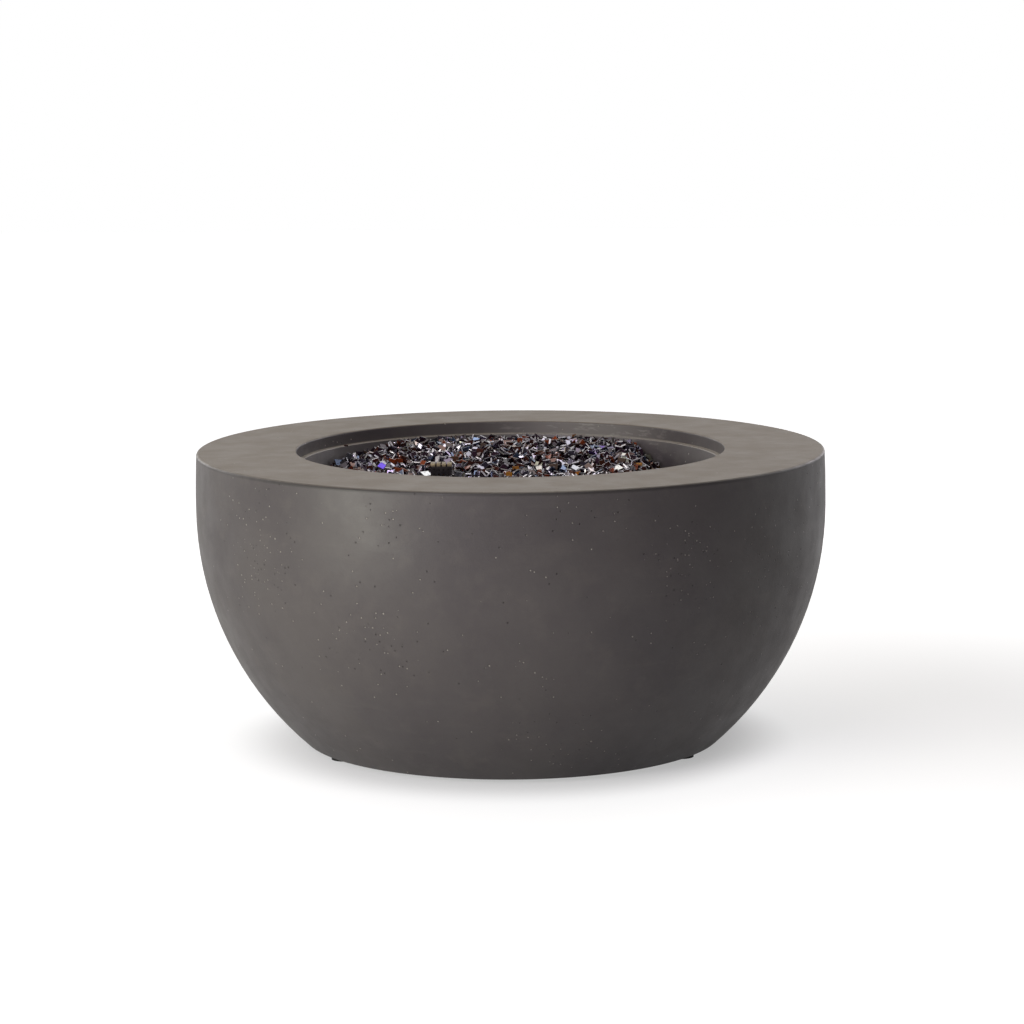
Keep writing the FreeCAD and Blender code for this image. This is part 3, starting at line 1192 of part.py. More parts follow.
def make_inlet():
    """Flared gas inlet on a steel bridge over the hole in the base."""
    half_x = BRIDGE_SCREW_X + BRIDGE_END_MARGIN
    half_y = INLET_BRIDGE_WIDTH / 2
    bridge = block((-half_x, -half_y, BASE_FLOOR_Z), (half_x, half_y, BRIDGE_TOP_Z))
    thread = INLET_BODY_DIAMETER + 2 * THREAD_GAP
    bridge = bridge.cut(cylinder(thread, (0, 0, BASE_FLOOR_Z), Z_AXIS, INLET_BRIDGE_SHEET))
    screws = []
    inserts = []
    for sx in (-1, 1):
        seat = (sx * BRIDGE_SCREW_X, 0, BRIDGE_TOP_Z)
        floor = (sx * BRIDGE_SCREW_X, 0, BASE_FLOOR_Z)
        bridge = bridge.cut(
            cylinder(BRIDGE_SCREW_DIAMETER + 2 * PLATE_HOLE_GAP, floor, Z_AXIS, INLET_BRIDGE_SHEET)
        )
        screws.append(
            screw(
                BRIDGE_SCREW_DIAMETER,
                BRIDGE_SCREW_LENGTH,
                PLATE_HEAD_DIAMETER,
                PLATE_HEAD_HEIGHT,
                seat,
                Z_AXIS,
            )
        )
        inserts.append(insert(BRIDGE_SCREW_DIAMETER, floor, Z_AXIS * -1, BRIDGE_SCREW_LENGTH))
    save(bridge, "inlet_bridge")
    save(group(screws), "bridge_screws")
    save(group(inserts), "bridge_inserts")
    lock_z = BASE_FLOOR_Z - INLET_HEX_THICKNESS
    low = lock_z - INLET_THREAD_LENGTH
    fitting = cylinder(INLET_THREAD_DIAMETER, (0, 0, low), Z_AXIS, INLET_THREAD_LENGTH)
    fitting = fitting.fuse(cylinder(INLET_BODY_DIAMETER, (0, 0, lock_z), Z_AXIS, BRIDGE_TOP_Z - lock_z))
    top_length = INLET_TOP_Z - BRIDGE_TOP_Z
    fitting = fitting.fuse(cylinder(INLET_TOP_DIAMETER, (0, 0, BRIDGE_TOP_Z), Z_AXIS, top_length))
    fitting = fitting.fuse(hexagon(INLET_HEX_FLATS, (0, 0, BRIDGE_TOP_Z), Z_AXIS, INLET_HEX_THICKNESS))
    fitting = fitting.cut(cylinder(INLET_BORE, (0, 0, low), Z_AXIS, INLET_TOP_Z - low))
    save(fitting.removeSplitter(), "gas_inlet")
    save(hex_nut(INLET_HEX_FLATS, thread, (0, 0, lock_z), Z_AXIS, INLET_HEX_THICKNESS), "inlet_lock_nut")


def make_heat_shield():
    """Bent sheet between the hot well and the valve."""
    z = shield_z()
    half = SHIELD_WIDTH / 2
    roof = block((-half, NICHE_BACK_Y - SHIELD_REACH, z), (half, NICHE_BACK_Y, z + SHIELD_SHEET))
    flange = block((-half, NICHE_BACK_Y - SHIELD_SHEET, z), (half, NICHE_BACK_Y, z + SHIELD_FLANGE))
    shield = roof.fuse(flange)
    screws = []
    inserts = []
    for place in shield_screw_places(NICHE_BACK_Y - SHIELD_SHEET):
        shield = shield.cut(
            cylinder(SHIELD_SCREW_DIAMETER + 2 * PLATE_HOLE_GAP, place, Y_AXIS, SHIELD_SHEET)
        )
        screws.append(
            screw(
                SHIELD_SCREW_DIAMETER,
                SHIELD_SCREW_LENGTH,
                SHIELD_HEAD_DIAMETER,
                SHIELD_HEAD_HEIGHT,
                place,
                Y_AXIS * -1,
            )
        )
    for place in shield_screw_places(NICHE_BACK_Y):
        inserts.append(insert(SHIELD_SCREW_DIAMETER, place, Y_AXIS, SHIELD_SCREW_LENGTH))
    save(shield.removeSplitter(), "valve_heat_shield")
    save(group(screws), "shield_screws")
    save(group(inserts), "shield_inserts")


def rise_to(x, y, z, run, last_run):
    """Last points of a line that comes in level from +Y and ends straight up at x, y, z."""
    turn = math.radians(RISE_TURN)
    first = (x, y, z - last_run)
    second = (x, y + run * math.sin(turn), first[2] - run * math.cos(turn))
    third = (x, second[1] + run * math.cos(turn), second[2] - run * math.sin(turn))
    return [third, second, first, (x, y, z)]


def route(port, steps):
    """Points of a line, from x past its port, a share of the port's y and a rise over the port."""
    return [(port[0] + x, port[1] * share, port[2] + rise) for x, share, rise in steps]


def make_lines():
    """Gas lines and leads, each whole along its real route."""
    supply_port, burner_port, pilot_port, thermo_port = port_places()
    inlet = (0, 0, INLET_TOP_Z)
    supply = [inlet]
    for shares in SUPPLY_ROUTE:
        steps = zip(inlet, supply_port, shares)
        supply.append(tuple(low + (high - low) * share for low, high, share in steps))
    supply += [(supply_port[0], supply_port[1], supply_port[2] - SUPPLY_RUN), supply_port]
    mixer = (0, 0, MIXER_BOTTOM_Z)
    burner = [burner_port, *route(burner_port, BURNER_ROUTE), (0, 0, MIXER_BOTTOM_Z - MIXER_RUN), mixer]
    tube_top = BRACKET_Z + PILOT_TUBE_ENGAGE
    pilot = [pilot_port, *route(pilot_port, PILOT_ROUTE)]
    pilot += rise_to(PILOT_X, PILOT_Y, tube_top, PILOT_TURN_RUN, PILOT_RISE_RUN)
    tail_z = SHELF_Z - PILOT_TAIL
    thermo = [thermo_port, *route(thermo_port, THERMO_ROUTE)]
    thermo += rise_to(PILOT_X - PILOT_SPACING, PILOT_Y, tail_z, THERMO_TURN_RUN, THERMO_TURN_RUN)
    start = spark_lead_start()
    spark = [start, *route(start, SPARK_ROUTE)]
    spark += rise_to(PILOT_X + PILOT_SPACING, PILOT_Y, tail_z, SPARK_TURN_RUN, SPARK_TURN_RUN)
    save(flexible_line(supply, SUPPLY_LINE_DIAMETER, "supply_line"), "supply_line")
    save(flexible_line(burner, BURNER_LINE_DIAMETER, "burner_line"), "burner_line")
    save(flexible_line(pilot, PILOT_TUBE_DIAMETER, "pilot_tube"), "pilot_tube")
    save(flexible_line(thermo, THERMO_LEAD_DIAMETER, "thermocouple_lead"), "thermocouple_lead")
    save(flexible_line(spark, SPARK_LEAD_DIAMETER, "spark_lead"), "spark_lead")
    nuts = [
        line_nut(SUPPLY_LINE_DIAMETER, supply[0], Z_AXIS),
        line_nut(SUPPLY_LINE_DIAMETER, supply_port, Z_AXIS * -1),
        line_nut(BURNER_LINE_DIAMETER, burner_port, X_AXIS * -1),
        line_nut(BURNER_LINE_DIAMETER, mixer, Z_AXIS * -1),
        line_nut(PILOT_TUBE_DIAMETER, pilot_port, Y_AXIS * -1),
        line_nut(THERMO_LEAD_DIAMETER, thermo_port, Y_AXIS * -1),
    ]
    save(group(nuts), "line_nuts")


save(make_bowl_shell(), "bowl_shell")
make_feet()
make_pan()
make_burner()
make_mixer()
make_fill()
make_pilot_cover()
make_pilot_parts()
make_control_plate()
make_valve()
make_knob()
make_igniter()
make_inlet()
make_heat_shield()
make_lines()
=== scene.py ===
import json
import math

import bpy
import numpy as np
from mathutils import Matrix, Vector


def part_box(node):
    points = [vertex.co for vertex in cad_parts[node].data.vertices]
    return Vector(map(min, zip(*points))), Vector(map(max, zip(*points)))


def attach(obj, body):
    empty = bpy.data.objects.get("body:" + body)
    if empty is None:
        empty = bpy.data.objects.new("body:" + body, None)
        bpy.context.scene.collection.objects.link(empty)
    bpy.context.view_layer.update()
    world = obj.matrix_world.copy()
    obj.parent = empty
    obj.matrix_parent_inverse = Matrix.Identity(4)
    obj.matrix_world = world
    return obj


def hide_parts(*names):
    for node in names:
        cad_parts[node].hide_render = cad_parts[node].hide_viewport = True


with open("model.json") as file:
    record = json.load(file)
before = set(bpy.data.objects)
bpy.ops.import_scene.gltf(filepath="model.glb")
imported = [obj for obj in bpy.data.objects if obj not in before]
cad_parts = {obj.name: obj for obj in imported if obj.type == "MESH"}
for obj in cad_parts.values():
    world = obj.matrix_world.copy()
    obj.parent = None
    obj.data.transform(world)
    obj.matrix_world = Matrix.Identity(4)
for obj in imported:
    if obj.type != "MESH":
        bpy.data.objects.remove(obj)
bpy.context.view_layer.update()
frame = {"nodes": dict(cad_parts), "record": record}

# Metres, in the part's own frame: the front faces -Y, the controls face +Y.
RECORD_SLOT = {part["node"]: part["material_slot"] for part in frame["record"]["subparts"]}
RIM_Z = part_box("bowl_shell")[1][2]
BOWL_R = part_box("bowl_shell")[1][0]
COVER_LOW, COVER_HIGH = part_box("pilot_cover")
GLASS_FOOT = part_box("fire_glass_bed")[0][2]

# Camera, at the photograph's viewing angle
CAMERA_DISTANCE = 5.279
CAMERA_HEIGHT = 1.1966
CAMERA_SIDE = 0.002
CAMERA_PITCH = 8.686          # degrees below the horizon
CAMERA_ROLL = -0.43
CAMERA_LENS = 110.2

# Fire well
SEAT_DEPTH = 0.022
SEAT_R = 0.355
WELL_LEAN = math.tan(math.radians(10))

# Surface of the glass heap. Each slope: its share of the fall, and its start and end in seat radii
GLASS_HIGH_DEPTH = 0.029
GLASS_LOW_DEPTH = 0.072
GLASS_FRONT = (0.63, 0.73, 0.0)
GLASS_LEFT = (0.28, -0.51, -0.85)
GLASS_RIGHT = (0.97, 0.58, 0.755)
GLASS_LUMP = 0.002
GLASS_LUMP_PITCH = 0.072
GLASS_LUMP_SHIFT = (1.3, -0.4)

# Stage: floor, its glow from the bowl outwards with a painted contact shadow, and where reflections meet the
# backdrop
FLOOR_HALF = 14.0
FLOOR_ALBEDO = 0.5
FLOOR_GLOW_AND_CONTACT_SHADOW = (0.345, 0.50, 0.47, 0.82)            # from radius to radius, from level to level; lower by the bowl as a painted contact shadow
FLOOR_FAR_GLOW = (1.2, 2.4, 0.0, 0.20)            # the same, added further out
FLOOR_SHADE = ((0.78, 0.25, 0.0), 0.95, 0.22)     # soft shadow away from the key: middle, reach, depth
FLOOR_MIRRORED = 0.5          # share of the glow that reflections show
BACKDROP_SIDE = (-0.1, 0.45, 0.0, 1.0)            # from Y to Y of a reflected ray, from level to level
AMBIENT = 0.03
LAMP_AIM = (0, 0, 0.25)

# Lamps: name, azimuth, elevation, distance, size, watts, colour
LAMPS = [
    ("key", -50, 8, 3.2, (0.9, 1.0), 38.0, (0.99, 1.0, 0.865)),
    ("front_left", -25, 22, 3.6, (1.0, 1.0), 26.0, (0.94, 0.85, 1.0)),
    ("right_rear", 140, 22, 3.4, (1.6, 1.4), 17.0, (1.0, 0.93, 0.97)),
    ("left_rear", -140, 18, 3.4, (1.6, 1.4), 15.0, (1.0, 0.96, 0.92)),
    ("overhead", 180, 89, 3.15, (2.2, 2.2), 30.0, (1.0, 0.95, 0.87)),
]

# Marks and painted light on the concrete, by depth under the rim or by distance from the widest part
LIT_TOP_FADE = (0.002, 0.0005)              # where the top's painted light begins
WELL_FADE = (0.001, 0.003)              # where the painted highlight and scratches inside the well begin
SEAT_HIGHLIGHT_LINE = (0.0005, 0.0015)             # painted highlight line along the seat: half its height, and with its soft edge
SEAT_HIGHLIGHT_WIDTH = (0.012, 0.010)              # how far the line reaches out from the seat's edge
RIM_SHADE_INSET = (0.0073, 0.0053)       # painted shade on the eased edge of the rim, inwards
RIM_SHADE_DEPTH = (0.0075, 0.004)        # and downwards

# Far side of the opening, with a painted highlight and scratches: middle, reach and strength
WELL_HIGHLIGHT_AND_SCRATCHES = ((0.14, 0.335, 0.490), 0.22, 0.55)

# Pinholes in the concrete gather round these points of its wall: place, reach and share
PINHOLE_CLUSTERS = [
    ((-0.40, -0.35, 0.37), 0.14, 0.50),
    ((-0.22, -0.47, 0.26), 0.18, 0.20),
    ((0.28, -0.45, 0.38), 0.11, 0.42),
    ((0.46, -0.26, 0.33), 0.09, 0.25),
]

# Loose fire glass
TILE_SIZE = 0.0142
TILE_SIZE_SPREAD = 0.0017
TILE_SIZE_RANGE = (0.010, 0.017)
TILE_THICKNESS = 0.0026
TILE_THICKNESS_RANGE = (0.88, 1.14)     # of the thickness
TILE_UNEVEN = (0.82, 1.04)    # where a corner lies, of half the size
TILE_CHAMFER = 0.00035
TILE_COUNT = 10500            # most pieces that settle, the buried ones included
TILE_TRIES = 3                # tries for each of them
TILE_CELL = 0.0022            # step of the grid of heights
TILE_WINDOW = 0.72            # half of the part of the grid that a piece looks at, of its size
TILE_REST = 72                # percentile of the heights under it that a flat piece rests on
TILE_STEEP_REST = 30          # how much lower that is for an upright one
TILE_SLOPE = 0.5              # share of a piece's slope that the heights take over from it
TILE_HEIGHT = 0.6             # most that it adds to the heights, of its size
TILE_BED_DEPTH = 0.015        # mean surface down to where the pieces start to settle
TILE_BURIED_DEPTH = 0.0080    # pieces with their middle deeper than this are part of the solid bed
TILE_PROUD = 0.0008           # how far the middle of a flat piece may stand over the mean surface
TILE_STEEP_PROUD = 0.35       # share of a tipped piece's rise that is added to it
TILE_FLAT_SHARE = 0.12
TILE_FLAT_TILT = 14           # degrees
TILE_TILT = (28, 84)          # degrees
TILE_WALL_GAP = 0.0015
TILE_COVER_GAP = 0.0015
TILE_SEED = 7
# A share of the rims gets a painted sheen: a pale colour added in place of their reflection at grazing angles
BRIGHT_RIM_SHARE = 0.24
RIM_SHEEN = np.array([0.74, 0.73, 0.78])
RIM_TONE = 0.4                # colour of a dull rim, of the face's
BRIGHT_RIM_TONE = 0.3         # and of a bright one, under its sheen
RIM_MIRROR = 0.6              # how far a rim mirrors, of what the face does

# Solid bed under the loose glass
BED_SECTORS = 180
BED_RINGS = 46
BED_WALL_GAP = 0.002
BED_FOOT_GAP = 0.004
BED_ROUGHNESS = 0.0012
BED_TINT = (0.012, 0.009, 0.012, 0.5)

# Pieces of glass that stand out: pixel of the photograph, colour, mirror share, size, tilt to the camera
IMAGE_SIZE = 1024
SIGHT_RANGE = (4.6, 6.0)      # distance from the camera in which the line of sight meets the heap
SIGHT_STEPS = 3000
STANDOUT_LIFT = 0.0035        # over the mean surface
STANDOUT_CLEARANCE = 0.008    # no other piece has its middle nearer to one that stands out
STANDOUT_SIDE = 0.92          # shorter side, of the longer one
STANDOUT_PIECES = [
    ((382, 466), (86, 62, 190), 0.9, 0.013, 50),
    ((371, 447), (150, 152, 134), 0.4, 0.013, 70),
    ((415, 441), (96, 116, 160), 0.9, 0.012, 55),
    ((476, 440), (108, 128, 166), 0.9, 0.012, 40),
    ((475, 452), (150, 120, 150), 0.9, 0.013, 60),
    ((423, 463), (186, 88, 44), 0.5, 0.011, 45),
    ((455, 459), (120, 84, 66), 0.6, 0.013, 55),
    ((426, 474), (250, 250, 250), 1.0, 0.016, 24),
    ((509, 475), (196, 132, 52), 0.3, 0.012, 70),
    ((516, 469), (190, 128, 58), 0.3, 0.012, 75),
    ((575, 468), (214, 214, 222), 1.0, 0.015, 25),
    ((578, 474), (196, 122, 44), 0.3, 0.011, 60),
    ((618, 468), (246, 244, 238), 1.0, 0.015, 24),
    ((623, 455), (226, 220, 210), 1.0, 0.013, 25),
    ((602, 463), (86, 46, 34), 0.6, 0.012, 60),
    ((560, 460), (92, 50, 38), 0.6, 0.014, 55),
    ((643, 459), (120, 138, 178), 0.9, 0.011, 60),
]

# One small piece that lies on the seat: pixel, colour, size, shorter side, mirror share
STRAY_PIECE = ((346, 445.5), (112, 48, 32), 0.006, 0.8, 0.5)


def srgb(red, green, blue):
    """Linear colour from 0 to 255 values."""
    channels = []
    for value in (red, green, blue):
        share = value / 255
        channels.append(share / 12.92 if share <= 0.04045 else ((share + 0.055) / 1.055) ** 2.4)
    return (*channels, 1.0)


class Shader:
    """A material under construction, with short calls for its nodes."""

    def __init__(self, name):
        self.material = bpy.data.materials.new(name)
        self.material.use_nodes = True
        self.nodes = self.material.node_tree.nodes
        self.links = self.material.node_tree.links
        self.bsdf = self.nodes["Principled BSDF"]
        self.place = self.nodes.new("ShaderNodeTexCoord").outputs["Object"]

    def put(self, socket, value):
        if isinstance(value, bpy.types.NodeSocket):
            self.links.new(value, socket)
        else:
            socket.default_value = value

    def stretched(self, scale):
        node = self.nodes.new("ShaderNodeMapping")
        self.put(node.inputs["Vector"], self.place)
        node.inputs["Scale"].default_value = scale
        return node.outputs["Vector"]

    def noise(self, scale, detail=4.0, roughness=0.55, stretch=(1, 1, 1)):
        node = self.nodes.new("ShaderNodeTexNoise")
        self.put(node.inputs["Vector"], self.stretched(stretch))
        node.inputs["Scale"].default_value = scale
        node.inputs["Detail"].default_value = detail
        node.inputs["Roughness"].default_value = roughness
        return node.outputs["Fac"]

    def cells(self, scale):
        """Voronoi cells: distance from the nearest middle, and a random colour for each cell."""
        node = self.nodes.new("ShaderNodeTexVoronoi")
        self.put(node.inputs["Vector"], self.place)
        node.inputs["Scale"].default_value = scale
        return node.outputs["Distance"], node.outputs["Color"]

    def math(self, operation, first, second=0.0):
        node = self.nodes.new("ShaderNodeMath")
        node.operation = operation
        self.put(node.inputs[0], first)
        self.put(node.inputs[1], second)
        return node.outputs[0]

    def times(self, first, second):
        return self.math("MULTIPLY", first, second)

    def band(self, value, low, high, to_low=0.0, to_high=1.0):
        """Smooth step of value from low to high."""
        node = self.nodes.new("ShaderNodeMapRange")
        node.interpolation_type = "SMOOTHSTEP"
        self.put(node.inputs["Value"], value)
        for name, number in (("From Min", low), ("From Max", high), ("To Min", to_low), ("To Max", to_high)):
            node.inputs[name].default_value = number
        return node.outputs["Result"]

    def around(self, value, middle, inner, outer):
        """1 within inner of the middle, and 0 past outer."""
        rising = self.band(value, middle - outer, middle - inner)
        falling = self.band(value, middle + outer, middle + inner)
        return self.times(rising, falling)

    def mix(self, factor, first, second):
        node = self.nodes.new("ShaderNodeMix")
        node.data_type = "RGBA"
        self.put(node.inputs["Factor"], factor)
        self.put(node.inputs[6], first)
        self.put(node.inputs[7], second)
        return node.outputs[2]

    def axes(self):
        node = self.nodes.new("ShaderNodeSeparateXYZ")
        self.put(node.inputs[0], self.place)
        return node.outputs

    def radius(self):
        """Distance from the bowl's axis."""
        along, across, _ = self.axes()
        squares = self.math("ADD", self.times(along, along), self.times(across, across))
        return self.math("SQRT", squares)

    def distance(self, place):
        node = self.nodes.new("ShaderNodeVectorMath")
        node.operation = "DISTANCE"
        self.put(node.inputs[0], self.place)
        node.inputs[1].default_value = place
        return node.outputs["Value"]

    def bump(self, height, distance, strength=1.0, under=None):
        node = self.nodes.new("ShaderNodeBump")
        node.inputs["Distance"].default_value = distance
        node.inputs["Strength"].default_value = strength
        self.put(node.inputs["Height"], height)
        if under is not None:
            self.put(node.inputs["Normal"], under)
        return node.outputs["Normal"]

    def finish(self, **inputs):
        for name, value in inputs.items():
            self.put(self.bsdf.inputs[name.replace("_", " ")], value)
        return self.material


def concrete():
    """Sealed cast concrete: clouds, trowel strokes, scratches and pinholes in clusters, with painted light: a
    paler top, painted shade and highlights in the pinholes, painted highlights along the seat and on the far
    side of the opening, and painted shade along the eased rim.
    """
    s = Shader("concrete")
    clouds = s.noise(5.0, 6.0, 0.6)
    patches = s.noise(22.0, 5.0, 0.6)
    specks = s.noise(330.0, 4.0, 0.7)
    grain = s.noise(900.0, 3.0, 0.6)
    strokes = s.noise(9.0, 6.0, 0.65, (1, 1, 6))
    colour = s.mix(s.band(clouds, 0.32, 0.68), srgb(92, 87, 88), srgb(102, 97, 96))
    colour = s.mix(s.times(s.band(patches, 0.5, 0.72), 0.35), colour, srgb(113, 107, 104))
    colour = s.mix(s.times(s.band(strokes, 0.56, 0.78), 0.25), colour, srgb(119, 113, 109))
    colour = s.mix(s.times(s.band(specks, 0.55, 0.8), 0.35), colour, srgb(72, 68, 66))
    colour = s.mix(s.times(s.band(grain, 0.45, 0.75), 0.15), colour, srgb(80, 76, 74))

    axes = s.axes()
    # Paler top: painted light, where the top face catches the lamps and the backdrop at a grazing angle
    lit_top = s.band(axes[2], *(RIM_Z - depth for depth in LIT_TOP_FADE))
    colour = s.mix(s.times(lit_top, 0.7), colour, srgb(138, 126, 110))
    # Painted highlight along the seat's edge, where it catches the light
    seat_highlight = s.around(axes[2], RIM_Z - SEAT_DEPTH, *SEAT_HIGHLIGHT_LINE)
    seat_highlight = s.times(seat_highlight, s.band(s.radius(), *(SEAT_R + width for width in SEAT_HIGHLIGHT_WIDTH)))
    colour = s.mix(s.times(seat_highlight, 0.6), colour, srgb(176, 168, 156))

    # Painted highlight on the far side of the opening, with scratches over it
    place, reach, highlight_share = WELL_HIGHLIGHT_AND_SCRATCHES
    near = s.band(s.distance(place), reach * 0.3, reach, 1.0, 0.0)
    near = s.times(near, s.band(axes[2], *(RIM_Z - depth for depth in WELL_FADE)))
    scratches = s.band(s.noise(60.0, 3.0, 0.6, (0.3, 1, 2)), 0.54, 0.66)
    colour = s.mix(s.times(near, highlight_share), colour, srgb(158, 153, 150))
    colour = s.mix(s.times(s.times(scratches, near), 0.5), colour, srgb(180, 176, 170))

    cluster = s.noise(7.0, 3.0, 0.6)
    share = s.band(cluster, 0.5, 0.66, 0.02, 0.16)
    for place, reach, most in PINHOLE_CLUSTERS:
        near = s.band(s.distance(place), 0.0, reach, most, 0.0)
        share = s.math("MAXIMUM", share, near)
    share = s.times(share, s.math("SUBTRACT", 1.0, s.times(lit_top, 0.8)))
    holes, tone = pinholes(s, 170.0, 0.29, share)
    chips, chip_tone = pinholes(s, 40.0, 0.095, s.times(share, 0.35))
    # Pinholes: some get painted shade in the pit, the others a painted highlight on the lip, by their random
    # number
    for mask, pick in ((holes, tone), (chips, chip_tone)):
        pit_shade_and_highlight = s.mix(s.band(pick, 0.34, 0.38), srgb(66, 62, 59), srgb(196, 190, 180))
        colour = s.mix(s.times(mask, 0.75), colour, pit_shade_and_highlight)
    sunk = s.math("SUBTRACT", 1.0, s.math("MAXIMUM", holes, chips))

    # Painted shade along the eased rim, stronger at the front
    edge = s.band(s.radius(), *(BOWL_R - inset for inset in RIM_SHADE_INSET))
    edge = s.times(edge, s.band(axes[2], *(RIM_Z - depth for depth in RIM_SHADE_DEPTH)))
    front = s.band(axes[1], -0.2, -0.45, 0.25, 0.5)
    colour = s.mix(s.times(edge, front), colour, srgb(48, 46, 43))

    waves = s.noise(14.0, 3.0, 0.5)
    normal = s.bump(waves, 0.0035, 0.4)
    normal = s.bump(specks, 0.00025, 0.6, normal)
    normal = s.bump(sunk, 0.0012, 1.0, normal)
    roughness = s.band(s.noise(16.0, 5.0, 0.6), 0.3, 0.7, 0.40, 0.52)
    roughness = s.math("ADD", roughness, s.times(lit_top, 0.1))
    return s.finish(Base_Color=colour, Roughness=roughness, Normal=normal)


def pinholes(s, scale, size, share):
    """Round spots in some of the cells of a Voronoi pattern: their mask, and a random number for each."""
    distance, tint = s.cells(scale)
    node = s.nodes.new("ShaderNodeSeparateColor")
    s.put(node.inputs[0], tint)
    chosen = s.math("LESS_THAN", node.outputs[0], share)
    return s.times(s.band(distance, size, size * 0.5), chosen), node.outputs[1]


def metal(name, dark, light, roughness, brushed=(1, 1, 1), scale=60.0):
    """Metal with a brushed or cast grain, uneven tone and a little dirt."""
    s = Shader(name)
    grain = s.noise(scale, 6.0, 0.7, brushed)
    cloud = s.noise(18.0, 4.0, 0.6)
    colour = s.mix(s.band(grain, 0.3, 0.7), dark, light)
    colour = s.mix(s.times(s.band(cloud, 0.5, 0.75), 0.3), colour, dark)
    rough = s.band(s.noise(scale * 0.6, 5.0, 0.6, brushed), 0.3, 0.7, roughness * 0.75, roughness * 1.25)
    return s.finish(Base_Color=colour, Metallic=1.0, Roughness=rough, Normal=s.bump(grain, 0.00006))


def hood_steel():
    """Perforated pilot hood: mottled steel sheet darkened with painted shade, with painted light on its top
    edge.
    """
    s = Shader("hood_steel")
    mottle = s.noise(90.0, 6.0, 0.7)
    # Dark tones: painted shade of the hood's face, mottled at random
    colour = s.mix(s.band(mottle, 0.3, 0.7), srgb(38, 35, 36), srgb(66, 61, 60))
    # Tan top edge: painted light, where the edge faces up to the lamps
    lit_top_edge = s.band(s.axes()[2], COVER_HIGH[2] - 0.006, COVER_HIGH[2] - 0.004)
    colour = s.mix(s.times(lit_top_edge, 0.85), colour, srgb(142, 128, 102))
    rough = s.band(mottle, 0.3, 0.7, 0.4, 0.6)
    return s.finish(Base_Color=colour, Metallic=0.6, Roughness=rough, Normal=s.bump(mottle, 0.0001))


def plastic(name, dark, light, roughness):
    """Moulded plastic or rubber with a fine spark-eroded grain."""
    s = Shader(name)
    grain = s.noise(1400.0, 3.0, 0.6)
    cloud = s.noise(30.0, 5.0, 0.6)
    colour = s.mix(s.band(cloud, 0.3, 0.7), dark, light)
    rough = s.band(cloud, 0.3, 0.7, roughness * 0.9, roughness * 1.15)
    return s.finish(Base_Color=colour, Roughness=rough, Normal=s.bump(grain, 0.00012))


def galvanised():
    """Zinc coated sheet with its spangle."""
    s = Shader("galvanised")
    distance, tint = s.cells(90.0)
    node = s.nodes.new("ShaderNodeSeparateColor")
    s.put(node.inputs[0], tint)
    colour = s.mix(node.outputs[1], srgb(150, 154, 158), srgb(186, 190, 194))
    rough = s.band(node.outputs[2], 0.0, 1.0, 0.32, 0.52)
    return s.finish(Base_Color=colour, Metallic=1.0, Roughness=rough, Normal=s.bump(distance, 0.0001))


def braided():
    """Stainless braid over a gas hose."""
    s = Shader("hose_braid")
    distance, _ = s.cells(420.0)
    colour = s.mix(s.band(distance, 0.2, 0.7), srgb(196, 196, 192), srgb(92, 92, 90))
    return s.finish(Base_Color=colour, Metallic=1.0, Roughness=0.34, Normal=s.bump(distance, 0.0005))


def lava_rock():
    """Dark broken lava rock."""
    s = Shader("lava_rock")
    distance, _ = s.cells(60.0)
    rough = s.noise(140.0, 8.0, 0.7)
    colour = s.mix(s.band(rough, 0.3, 0.7), srgb(38, 32, 30), srgb(74, 62, 57))
    normal = s.bump(rough, 0.002, 1.0, s.bump(distance, 0.006))
    return s.finish(Base_Color=colour, Roughness=0.9, Normal=normal)


def fire_glass():
    """Mirrored fire glass: the colour of each face and how far it mirrors come from its attribute."""
    s = Shader("fire_glass")
    tint = s.nodes.new("ShaderNodeAttribute")
    tint.attribute_name = "tint"
    cloud = s.noise(240.0, 3.0, 0.6)
    smoke = s.times(s.band(cloud, 0.48, 0.72), 0.5)
    colour = s.mix(smoke, tint.outputs["Color"], srgb(30, 22, 27))
    rough = s.band(cloud, 0.3, 0.75, 0.05, 0.2)
    normal = s.bump(s.noise(160.0, 2.0, 0.5), 0.00025)
    s.bsdf.inputs["Coat Weight"].default_value = 0.5
    s.bsdf.inputs["Coat Roughness"].default_value = 0.04
    return s.finish(Base_Color=colour, Metallic=tint.outputs["Alpha"], Roughness=rough, Normal=normal)


